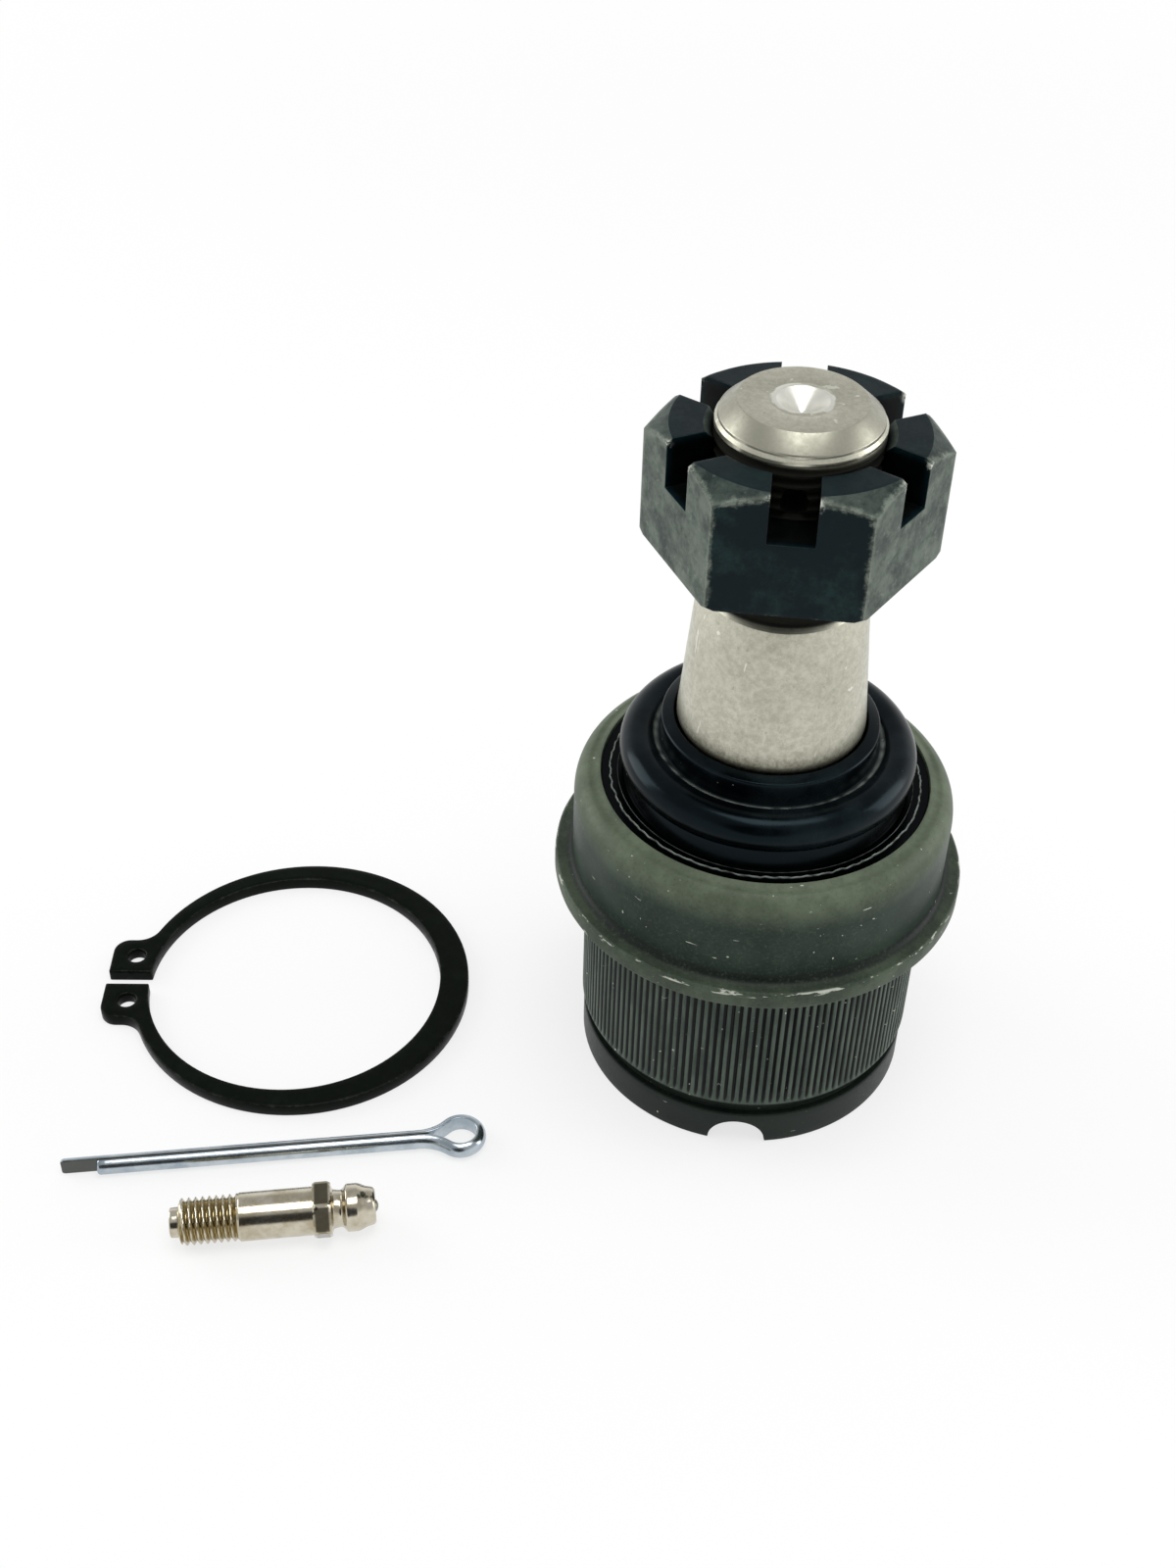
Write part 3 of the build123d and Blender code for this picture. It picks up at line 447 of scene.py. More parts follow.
class Graph(Nodes):
    """One material's node graph, in the piece's own coordinates."""

    def __init__(self, name: str) -> None:
        """Starts a material with a principled shader.

        Args:
            name: the material's name.
        """
        self.material = bpy.data.materials.new(name)
        self.material.use_nodes = True
        super().__init__(self.material.node_tree)
        self.shader = self.tree.nodes["Principled BSDF"]
        self.place = self.add("ShaderNodeTexCoord").outputs["Object"]

    def shade(self, **values: object) -> None:
        """Fills the shader's sockets.

        Args:
            values: by the sockets' names, in lower case with underscores for spaces.
        """
        for key, value in values.items():
            name = key.replace("_", " ").title().replace("Ior", "IOR")
            if isinstance(value, tuple) and len(value) == 3:
                value = (*value, 1.0)
            self.put(self.shader.inputs[name], value)

    def noise(self, scale: float, detail: float, rough: float, stretch: Colour = (1, 1, 1)) -> Socket:
        """Noise on Object coordinates.

        Args:
            scale: cycles per metre.
            detail: how many octaves are added.
            rough: how strong the finer octaves are.
            stretch: more cycles along an axis where it is above 1, fewer where it is below.

        Returns:
            The noise, about 0 to 1.
        """
        place = self.add("ShaderNodeMapping")
        self.fill(place, {"Vector": self.place, "Scale": stretch})
        made = self.add("ShaderNodeTexNoise")
        self.fill(made, {"Vector": place.outputs[0], "Scale": scale, "Detail": detail, "Roughness": rough})
        return made.outputs["Fac"]

    def pattern(self, of: Pattern) -> Socket:
        """A pattern's value at each point."""
        return self.spread(self.noise(*of.noise, of.stretch), of.start, of.end, of.low, of.high)

    def mix(self, share: object, a: object, b: object) -> Socket:
        """A colour between two.

        Args:
            share: how far it is from the first to the second, 0 to 1.
            a: the first colour.
            b: the second colour.

        Returns:
            The colour.
        """
        made = self.add("ShaderNodeMix", data_type="RGBA")
        colours = [(*value, 1.0) if isinstance(value, tuple) else value for value in (a, b)]
        self.fill(made, {0: share, 6: colours[0], 7: colours[1]})
        return made.outputs[2]

    def bump(self, height: Socket, distance: float, strength: float, under: Socket | None = None) -> Socket:
        """A bumped normal.

        Args:
            height: how high the surface stands.
            distance: the height of 1, in millimetres.
            strength: how much of the bump shows.
            under: the normal to start from.

        Returns:
            The normal.
        """
        made = self.add("ShaderNodeBump")
        self.fill(made, {"Height": height, "Distance": distance * MM, "Strength": strength})
        if under is not None:
            self.put(made.inputs["Normal"], under)
        return made.outputs["Normal"]

    def height(self) -> Socket:
        """The point's height.

        Returns:
            The height in metres.
        """
        split = self.add("ShaderNodeSeparateXYZ")
        self.put(split.inputs[0], self.place)
        return split.outputs["Z"]

    def radius(self) -> Socket:
        """The point's distance from the z axis.

        Returns:
            The distance in metres.
        """
        flat = self.add("ShaderNodeVectorMath", operation="MULTIPLY")
        self.fill(flat, {0: self.place, 1: (1, 1, 0)})
        length = self.add("ShaderNodeVectorMath", operation="LENGTH")
        self.put(length.inputs[0], flat.outputs[0])
        return length.outputs["Value"]

    def band(self, value: Socket, low: float, high: float, soft: float) -> Socket:
        """1 between two places and 0 outside them.

        Args:
            value: a height or radius, in metres.
            low: where the band starts, in millimetres.
            high: where it ends, in millimetres.
            soft: half the width of each of its sides, in millimetres.

        Returns:
            The band, 0 to 1.
        """
        rise = self.spread(value, (low - soft) * MM, (low + soft) * MM)
        fall = self.spread(value, (high - soft) * MM, (high + soft) * MM, 1.0, 0.0)
        return self.times(rise, fall)

    def facing(self, axis: str) -> Socket:
        """One part of the unit normal, in the piece's own axes.

        Args:
            axis: X, Y or Z.

        Returns:
            The part, -1 to 1.
        """
        split = self.add("ShaderNodeSeparateXYZ")
        self.put(split.inputs[0], self.add("ShaderNodeTexCoord").outputs["Normal"])
        return split.outputs[axis]

    def attribute(self, name: str) -> Socket:
        """A value that the mesh carries for each point."""
        return self.add("ShaderNodeAttribute", attribute_name=name).outputs["Fac"]


@dataclass(frozen=True)
class Phosphate:
    """Dark olive phosphate on forged steel: paler on the flange, and on the crown as a painted highlight
    where it faces up; serration crests lighter, worn and with a painted highlight; black in their roots and
    at the foot of the shell wall, a painted shade; darker low on the collar; nicked at the rim.

    Heights and radii are in millimetres. A share says how far one colour goes towards the next.
    """

    dark: Colour = (0.012, 0.023, 0.017)
    mid: Colour = (0.024, 0.041, 0.030)
    # Pale: the flange's tone and pale grain, and the painted highlight on the crown.
    pale: Colour = (0.140, 0.172, 0.112)
    # Crest: colour of the serrations' crests, partly wear and partly a painted highlight.
    crest: Colour = (0.086, 0.116, 0.092)
    # Black: the painted shade in the serrations' roots and at the wall's foot, and dark specks in the grain.
    black: Colour = (0.0012, 0.0022, 0.0018)
    bare: Colour = (0.58, 0.60, 0.52)
    rim_radius: float = 28.0
    past_rim: float = 40.0
    flange_low: float = 32.3
    flange_high: float = 35.3
    flange_soft: float = 0.15
    nick_low: float = 34.45
    nick_high: float = 35.1
    foot_high: float = 36.3
    foot_soft: float = 0.25
    crown_low: float = 43.4
    crown_high: float = 48.4
    knurl_low: float = 8.3
    knurl_high: float = 32.4
    crest_radius: float = 23.92
    root_radius: float = 23.77
    collar_top: float = 8.3
    collar_soft: float = 0.3
    soft: float = 0.1
    crown_highlight_share: Share = (0.50, 0.80)
    flange_share: Share = (0.20, 0.42)
    foot_shade_share: float = 0.7
    root_shade_share: float = 0.98
    collar_share: float = 0.68
    wear_share: float = 0.8
    cloud: Pattern = Pattern((120, 7, 0.7), 0.34, 0.68)
    grain: Noise = (2300, 4, 0.75)
    pale_grain: Change = (0.50, 0.72, 0.0, 0.22)
    black_grain: Change = (0.30, 0.46, 0.30, 0.0)
    rough_grain: Change = (0.3, 0.7, 0.38, 0.50)
    crest_wear_and_highlight: Pattern = Pattern((420, 4, 0.6), 0.35, 0.65, 0.25, 0.85, (1.0, 1.0, 0.25))
    streaks: Pattern = Pattern((230, 4, 0.65), 0.56, 0.60, stretch=(1.0, 1.0, 6.0))
    specks: Pattern = Pattern((1100, 2, 0.5), 0.745, 0.765)
    lines: Pattern = Pattern((300, 3, 0.5), 0.735, 0.75, stretch=(1.0, 1.0, 7.0))
    dimples: Noise = (240, 4, 0.6)
    shine: float = 0.16

    def material(self) -> bpy.types.Material:
        """Builds the finish.

        Returns:
            The material.
        """
        g = Graph("phosphated_steel")
        height, radius = g.height(), g.radius()
        cloud = g.pattern(self.cloud)
        grain = g.noise(*self.grain)
        tone = g.mix(cloud, self.dark, self.mid)
        # Painted highlight: the crown, the roll that faces up, is mixed paler as if lit from above; the
        # flange is mixed paler too.
        crown = g.spread(height, self.crown_low * MM, self.crown_high * MM)
        crown = g.times(crown, g.shared(cloud, *self.crown_highlight_share))
        flange = g.band(height, self.flange_low, self.flange_high, self.flange_soft)
        flange = g.times(flange, g.shared(cloud, *self.flange_share))
        tone = g.mix(g.most(crown, flange), tone, self.pale)
        # Painted shade: the concave foot of the shell wall, just above the flange, is darkened towards black.
        foot = g.band(height, self.flange_high - self.soft, self.foot_high, self.foot_soft)
        tone = g.mix(g.times(foot, self.foot_shade_share), tone, self.black)
        tone = g.mix(g.spread(grain, *self.pale_grain), tone, self.pale)
        tone = g.mix(g.spread(grain, *self.black_grain), tone, self.black)
        knurl = g.band(height, self.knurl_low, self.knurl_high, self.soft)
        crest = g.spread(radius, self.root_radius * MM, self.crest_radius * MM)
        # Serration crests mixed lighter: partly wear, partly a painted highlight where the crests catch the
        # light.
        tone = g.mix(g.times(knurl, g.times(crest, g.pattern(self.crest_wear_and_highlight))), tone, self.crest)
        # Painted shade: the roots between the serrations go nearly black; the collar below the groove's top
        # is darkened too.
        root = g.times(knurl, g.maths("SUBTRACT", 1.0, crest, clamp=True))
        low = g.spread(height, self.collar_top * MM, (self.collar_top + self.collar_soft) * MM,
                       self.collar_share, 0.0)
        tone = g.mix(g.most(g.times(root, self.root_shade_share), low), tone, self.black)
        nicks = g.times(g.band(radius, self.rim_radius, self.past_rim, self.soft),
                        g.band(height, self.nick_low, self.nick_high, self.soft))
        nicks = g.times(nicks, g.pattern(self.streaks))
        wear = g.most(nicks, g.most(g.pattern(self.specks), g.pattern(self.lines)))
        wear = g.times(wear, self.wear_share)
        g.shade(base_color=g.mix(wear, tone, self.bare), metallic=0.0, specular_ior_level=self.shine,
                roughness=g.spread(grain, *self.rough_grain))
        fine = g.bump(grain, distance=0.012, strength=0.5)
        g.shade(normal=g.bump(g.noise(*self.dimples), distance=0.04, strength=0.35, under=fine))
        return g.material


@dataclass(frozen=True)
class StudSteel:
    """Ground and tumbled steel: warm grey, mottled and scratched, browner by the boot, and nearly black on
    the thread inside and just under the nut, a painted shade.

    Heights and radii are in millimetres. A share says how far one colour goes towards the next.
    """

    pale: Colour = (0.62, 0.61, 0.51)
    dull: Colour = (0.40, 0.395, 0.315)
    brown: Colour = (0.10, 0.095, 0.055)
    # Colour of the painted shade on the thread inside and under the nut.
    shade_in_nut: Colour = (0.006, 0.006, 0.005)
    bright: Colour = (0.82, 0.81, 0.72)
    fresh: Colour = (0.19, 0.187, 0.150)
    white: Colour = (0.90, 0.89, 0.83)
    boot_height: float = 59.4
    clear_height: float = 62.6
    shade_in_nut_low: float = 79.9
    shade_in_nut_high: float = 102.4
    shade_in_nut_soft: float = 0.3
    end_low: float = 103.9
    end_high: float = 104.1
    end_radius: float = 7.9
    rim_width: float = 0.12
    centre_radius: float = 3.35
    centre_soft: float = 0.25
    cloud_share: float = 0.62
    wide_share: float = 0.22
    scratch_share: float = 0.7
    pit_share: float = 0.25
    rim_share: float = 0.5
    centre_share: float = 0.7
    boot_share: float = 0.85
    shade_in_nut_share: float = 0.97
    cloud: Pattern = Pattern((1000, 8, 0.85), 0.36, 0.64)
    wide: Pattern = Pattern((150, 4, 0.6), 0.35, 0.65)
    upright: Pattern = Pattern((520, 3, 0.55), 0.675, 0.70, stretch=(1.0, 1.0, 0.12))
    across: Pattern = Pattern((460, 3, 0.55), 0.70, 0.72, stretch=(0.3, 1.0, 1.2))
    pits: Pattern = Pattern((1300, 2, 0.5), 0.27, 0.30, 1.0, 0.0)
    wobble: Pattern = Pattern((260, 3, 0.5), 0.3, 0.7, -0.0005, 0.0004)
    fine: Noise = (2600, 3, 0.6)
    dry_roughness: Share = (0.40, 0.30)
    shade_in_nut_roughness: float = 0.8

    def material(self) -> bpy.types.Material:
        """Builds the finish.

        Returns:
            The material.
        """
        g = Graph("stud_steel")
        cloud = g.pattern(self.cloud)
        wide = g.times(g.pattern(self.wide), self.wide_share)
        tone = g.mix(g.maths("ADD", g.times(cloud, self.cloud_share), wide), self.dull, self.pale)
        scratches = g.most(g.pattern(self.upright), g.pattern(self.across))
        tone = g.mix(g.times(scratches, self.scratch_share), tone, self.bright)
        tone = g.mix(g.times(g.pattern(self.pits), self.pit_share), tone, self.brown)
        height, radius = g.height(), g.radius()
        end = g.spread(height, self.end_low * MM, self.end_high * MM)
        rim = g.spread(radius, (self.end_radius - self.rim_width) * MM, self.end_radius * MM)
        centre = g.spread(g.maths("ADD", radius, g.pattern(self.wobble)), self.centre_radius * MM,
                          (self.centre_radius + self.centre_soft) * MM, 1.0, 0.0)
        tone = g.mix(g.times(g.times(end, rim), self.rim_share), tone, self.fresh)
        tone = g.mix(g.times(g.times(end, centre), self.centre_share), tone, self.white)
        low = g.spread(height, self.boot_height * MM, self.clear_height * MM, self.boot_share, 0.0)
        tone = g.mix(g.times(low, g.shared(cloud, 1.0, 0.5)), tone, self.brown)
        # Painted shade: the thread inside and just under the nut goes nearly black and rough.
        shade_in_nut = g.band(height, self.shade_in_nut_low, self.shade_in_nut_high, self.shade_in_nut_soft)
        tone = g.mix(g.times(shade_in_nut, self.shade_in_nut_share), tone, self.shade_in_nut)
        rough = g.most(g.shared(cloud, *self.dry_roughness), g.times(shade_in_nut, self.shade_in_nut_roughness))
        g.shade(base_color=tone, metallic=0.93, roughness=rough)
        fine = g.bump(g.noise(*self.fine), distance=0.008, strength=0.5)
        g.shade(normal=g.bump(scratches, distance=0.02, strength=0.5, under=fine))
        return g.material


@dataclass(frozen=True)
class BlackOxide:
    """Blue-black oxide on steel, faintly mottled, worn to grey where the mesh's wear value is high. On the
    nut it
    also carries painted light: lighter flats and cone, a darker top, glints at the slots' corners and shade
    in the slots.

    A share says how far one colour goes towards the next.
    """

    name: str = "black_oxide"
    dark: Colour = (0.0006, 0.0070, 0.0095)
    mid: Colour = (0.010, 0.030, 0.030)
    worn: Colour = (0.170, 0.200, 0.165)
    roughness: float = 0.36
    wear_share: float = 1.0
    shine: float = 0.12
    # Whether the nut's painted light is added: lit flats and cone, shaded top, glints and shade in the slots.
    paints_nut_light: bool = False
    # Colour of the painted glints at the slots' top corners.
    bare: Colour = (0.75, 0.76, 0.68)
    # Colour of the painted shade in the slots and the bore.
    black: Colour = (0.0004, 0.0006, 0.0006)
    # Colours of the painted lit flats and cone.
    dull_grey: Colour = (0.040, 0.055, 0.046)
    light_grey: Colour = (0.150, 0.185, 0.150)
    fleck: Colour = (0.26, 0.30, 0.25)
    rougher: float = 0.12
    slot_shade_share: float = 0.97
    fleck_share: float = 0.5
    cone_share: float = 0.38
    flat_share: float = 0.72
    cloud: Pattern = Pattern((170, 8, 0.74), 0.47, 0.74)
    grain: Noise = (2200, 3, 0.65)
    patch: Pattern = Pattern((520, 7, 0.78), 0.42, 0.60)
    ragged: Pattern = Pattern((700, 6, 0.75), 0.3, 0.7, -0.28, 0.22)
    mottle: Pattern = Pattern((240, 8, 0.75), 0.36, 0.64)
    flecks: Pattern = Pattern((800, 5, 0.7), 0.55, 0.70)
    dimples: Noise = (300, 4, 0.6)
    rubbing: Range = (0.30, 0.85)
    turned_side: Change = (-0.8, -0.3, 1.0, 0.0)
    upright: Change = (0.1, 0.4, 1.0, 0.0)
    sloping: Range = (0.5, 0.7)
    not_level: Change = (0.93, 0.98, 1.0, 0.0)
    level: Change = (0.96, 0.99, 0.0, 0.6)

    def material(self) -> bpy.types.Material:
        """Builds the finish.

        Returns:
            The material.
        """
        g = Graph(self.name)
        tone = g.mix(g.pattern(self.cloud), self.dark, self.mid)
        patch = g.pattern(self.patch)
        # Painted light and shade: flats and cone lighter by how they face the lamps, the top darker.
        if self.paints_nut_light:
            tone = self.paint_flat_light(g, tone)
        ragged = g.maths("ADD", g.attribute("wear"), g.pattern(self.ragged))
        rubbed = g.times(g.spread(ragged, *self.rubbing), g.shared(patch, 0.35, 1.0), clamp=True)
        tone = g.mix(g.times(rubbed, self.wear_share), tone, self.worn)
        if self.paints_nut_light:
            # Painted glints: bright metal where the slots' top corners catch the light.
            tone = g.mix(g.times(g.attribute("nick"), g.spread(patch, 0.2, 0.8)), tone, self.bare)
            # Painted shade: the slots and the bore go black.
            tone = g.mix(g.times(g.attribute("slot_shade"), self.slot_shade_share), tone, self.black)
        g.shade(base_color=tone, metallic=0.0, specular_ior_level=self.shine,
                roughness=g.shared(patch, self.roughness, self.roughness + self.rougher))
        fine = g.bump(g.noise(*self.grain), distance=0.008, strength=0.5)
        g.shade(normal=g.bump(g.noise(*self.dimples), distance=0.03, strength=0.35, under=fine))
        return g.material

    def paint_flat_light(self, g: Graph, tone: Socket) -> Socket:
        """Paints light and shade by facing: every second flat of a hexagon and the cone over all six lighter,
        as if lit from the sides and above, and the level top darker.

        With c the cosine of the normal's angle from the front, cos 3a = 4c^3 - 3c is 1 on three of the flats
        and -1 on the other three.

        Args:
            g: the graph.
            tone: the colour so far.

        Returns:
            The new colour.
        """
        up, front = g.facing("Z"), g.times(g.facing("Y"), -1.0)
        cube = g.times(g.times(front, front), front)
        threefold = g.maths("SUBTRACT", g.times(cube, 4.0), g.times(front, 3.0))
        flat = g.times(g.spread(threefold, *self.turned_side), g.spread(up, *self.upright))
        cone = g.times(g.spread(up, *self.sloping), g.spread(up, *self.not_level))
        # Painted shade on the level top.
        top = g.mix(g.spread(up, *self.level), tone, self.dark)
        grey = g.mix(g.pattern(self.mottle), self.dull_grey, self.light_grey)
        grey = g.mix(g.times(g.pattern(self.flecks), self.fleck_share), grey, self.fleck)
        coned = g.mix(g.times(cone, self.cone_share), top, grey)
        return g.mix(g.times(flat, self.flat_share), coned, grey)


@dataclass(frozen=True)
class BootRubber:
    """Glossy black moulded rubber with a faint blue bloom and a little dust, darkened low inside the body's
    lip by a painted shade. Heights are in millimetres.
    """

    name: str = "boot_rubber"
    shine: float = 0.14
    dark: Colour = (0.0006, 0.0011, 0.0015)
    bloom: Colour = (0.008, 0.013, 0.015)
    # Colour of the painted shade low inside the body's lip.
    deep: Colour = (0.0003, 0.0004, 0.0004)
    torn: Colour = (0.30, 0.34, 0.31)
    dusty: Colour = (0.30, 0.31, 0.30)
    tint: Colour = (0.55, 0.85, 1.0)
    shaded_below: float = 51.6
    shade_soft: float = 1.2
    bloom_share: float = 0.6
    dust_share: float = 0.5
    cloud: Pattern = Pattern((120, 5, 0.6), 0.42, 0.72)
    dust: Pattern = Pattern((1100, 2, 0.5), 0.755, 0.775)
    skin: Noise = (700, 4, 0.6)
    roughness: Share = (0.19, 0.28)

    def material(self) -> bpy.types.Material:
        """Builds the finish.

        Returns:
            The material.
        """
        g = Graph(self.name)
        cloud = g.pattern(self.cloud)
        tone = g.mix(g.times(cloud, self.bloom_share), self.dark, self.bloom)
        tone = g.mix(g.times(g.pattern(self.dust), self.dust_share), tone, self.dusty)
        # Painted shade: rubber low down inside the body's lip is darkened nearly to black.
        low, high = (self.shaded_below - self.shade_soft) * MM, self.shaded_below * MM
        tone = g.mix(g.spread(g.height(), low, high, 1.0, 0.0), tone, self.deep)
        tone = g.mix(g.attribute("flash"), tone, self.torn)
        g.shade(base_color=tone, roughness=g.shared(cloud, *self.roughness), specular_ior_level=self.shine,
                specular_tint=self.tint)
        g.shade(normal=g.bump(g.noise(*self.skin), distance=0.012, strength=0.4))
        return g.material


@dataclass(frozen=True)
class Plating:
    """Bright plating over steel: two tones, light ripples, darker where it has tarnished, and, on the cotter
    pin, a painted shade along the gap between its legs.
    """

    name: str
    pale: Colour
    deep: Colour
    roughness: float
    ripple: float = 0.02
    cloud_scale: float = 300.0
    # Colour of the fitting's tarnish and of the painted shade along the pin's gap.
    aged_and_gap_shade: Colour = (0.050, 0.044, 0.028)
    golden: Colour = (0.34, 0.27, 0.12)
    rougher: float = 0.08
    share: float = 0.85
    grain: Noise = (4200, 2, 0.6)
    ripples: Noise = (650, 3, 0.55)

    def material(self) -> bpy.types.Material:
        """Builds the finish.

        Returns:
            The material.
        """
        g = Graph(self.name)
        grain = g.noise(*self.grain)
        tone = g.mix(g.pattern(Pattern((self.cloud_scale, 4, 0.6), 0.35, 0.68)), self.pale, self.deep)
        tone = g.mix(g.times(g.attribute("groove"), self.share), tone, self.golden)
        # Tarnish on the fitting's hexagon, and on the pin a painted shade along the gap between its legs.
        tone = g.mix(g.times(g.attribute("aged_and_gap_shade"), self.share), tone, self.aged_and_gap_shade)
        g.shade(base_color=tone, metallic=1.0,
                roughness=g.spread(grain, 0.35, 0.7, self.roughness, self.roughness + self.rougher))
        fine = g.bump(grain, distance=0.003, strength=0.4)
        g.shade(normal=g.bump(g.noise(*self.ripples), distance=self.ripple, strength=0.3, under=fine))
        return g.material


class Finish(Enum):
    """The finishes by name, each with the record's material slot that it belongs to."""

    PHOSPHATE = "phosphated_steel"
    STUD = "stud_steel"
    OXIDE = "black_oxide"
    BLACK_SPRING = "black_oxide/spring"
    RUBBER = "rubber"
    SHADED_RUBBER = "rubber/shaded"
    ZINC = "zinc_plate"
    NICKEL = "nickel_plate"
    PLAIN_STEEL = "plated_steel"
    SPRING = "spring_steel"
    BEARING = "bearing"


PLATINGS = {
    Finish.ZINC: Plating("zinc_plate", (0.52, 0.58, 0.62), (0.34, 0.40, 0.45), 0.16, 0.03, 220),
    Finish.NICKEL: Plating("nickel_plate", (0.60, 0.56, 0.46), (0.42, 0.37, 0.26), 0.12),
    Finish.PLAIN_STEEL: Plating("plain_steel", (0.55, 0.55, 0.55), (0.42, 0.42, 0.42), 0.34),
    Finish.SPRING: Plating("oiled_spring_steel", (0.26, 0.26, 0.27), (0.16, 0.15, 0.14), 0.30),
    Finish.BEARING: Plating("bearing_metal", (0.52, 0.40, 0.22), (0.36, 0.26, 0.13), 0.42),
}
BLACKENED_SPRING = BlackOxide(
    "blackened_spring", dark=(0.0012, 0.0030, 0.0014), mid=(0.0035, 0.0065, 0.0035), worn=(0.05, 0.055, 0.05),
    roughness=0.28, wear_share=0.5, shine=0.07,
)


class Finishes:
    """Makes each finish once and puts it on pieces."""

    def __init__(self) -> None:
        """Builds the materials."""
        self.made = {
            Finish.PHOSPHATE: Phosphate().material(),
            Finish.STUD: StudSteel().material(),
            # The nut's finish, with its painted light and shade.
            Finish.OXIDE: BlackOxide(paints_nut_light=True).material(),
            Finish.BLACK_SPRING: BLACKENED_SPRING.material(),
            Finish.RUBBER: BootRubber().material(),
            Finish.SHADED_RUBBER: BootRubber("flange_rubber", shine=0.06).material(),
        }
        self.made.update((finish, plating.material()) for finish, plating in PLATINGS.items())

    def put(self, piece: Object, finish: Finish) -> None:
        """Gives a piece one finish, in its only material slot.

        Args:
            piece: a modelled piece or a CAD node.
            finish: which finish.
        """
        if piece.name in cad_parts:
            for slot in piece.material_slots:
                slot.material = self.made[finish]
            return
        piece.data.materials.clear()
        piece.data.materials.append(self.made[finish])


# ----------------------------------------------------------------------------------------------------------
# The body
# ----------------------------------------------------------------------------------------------------------


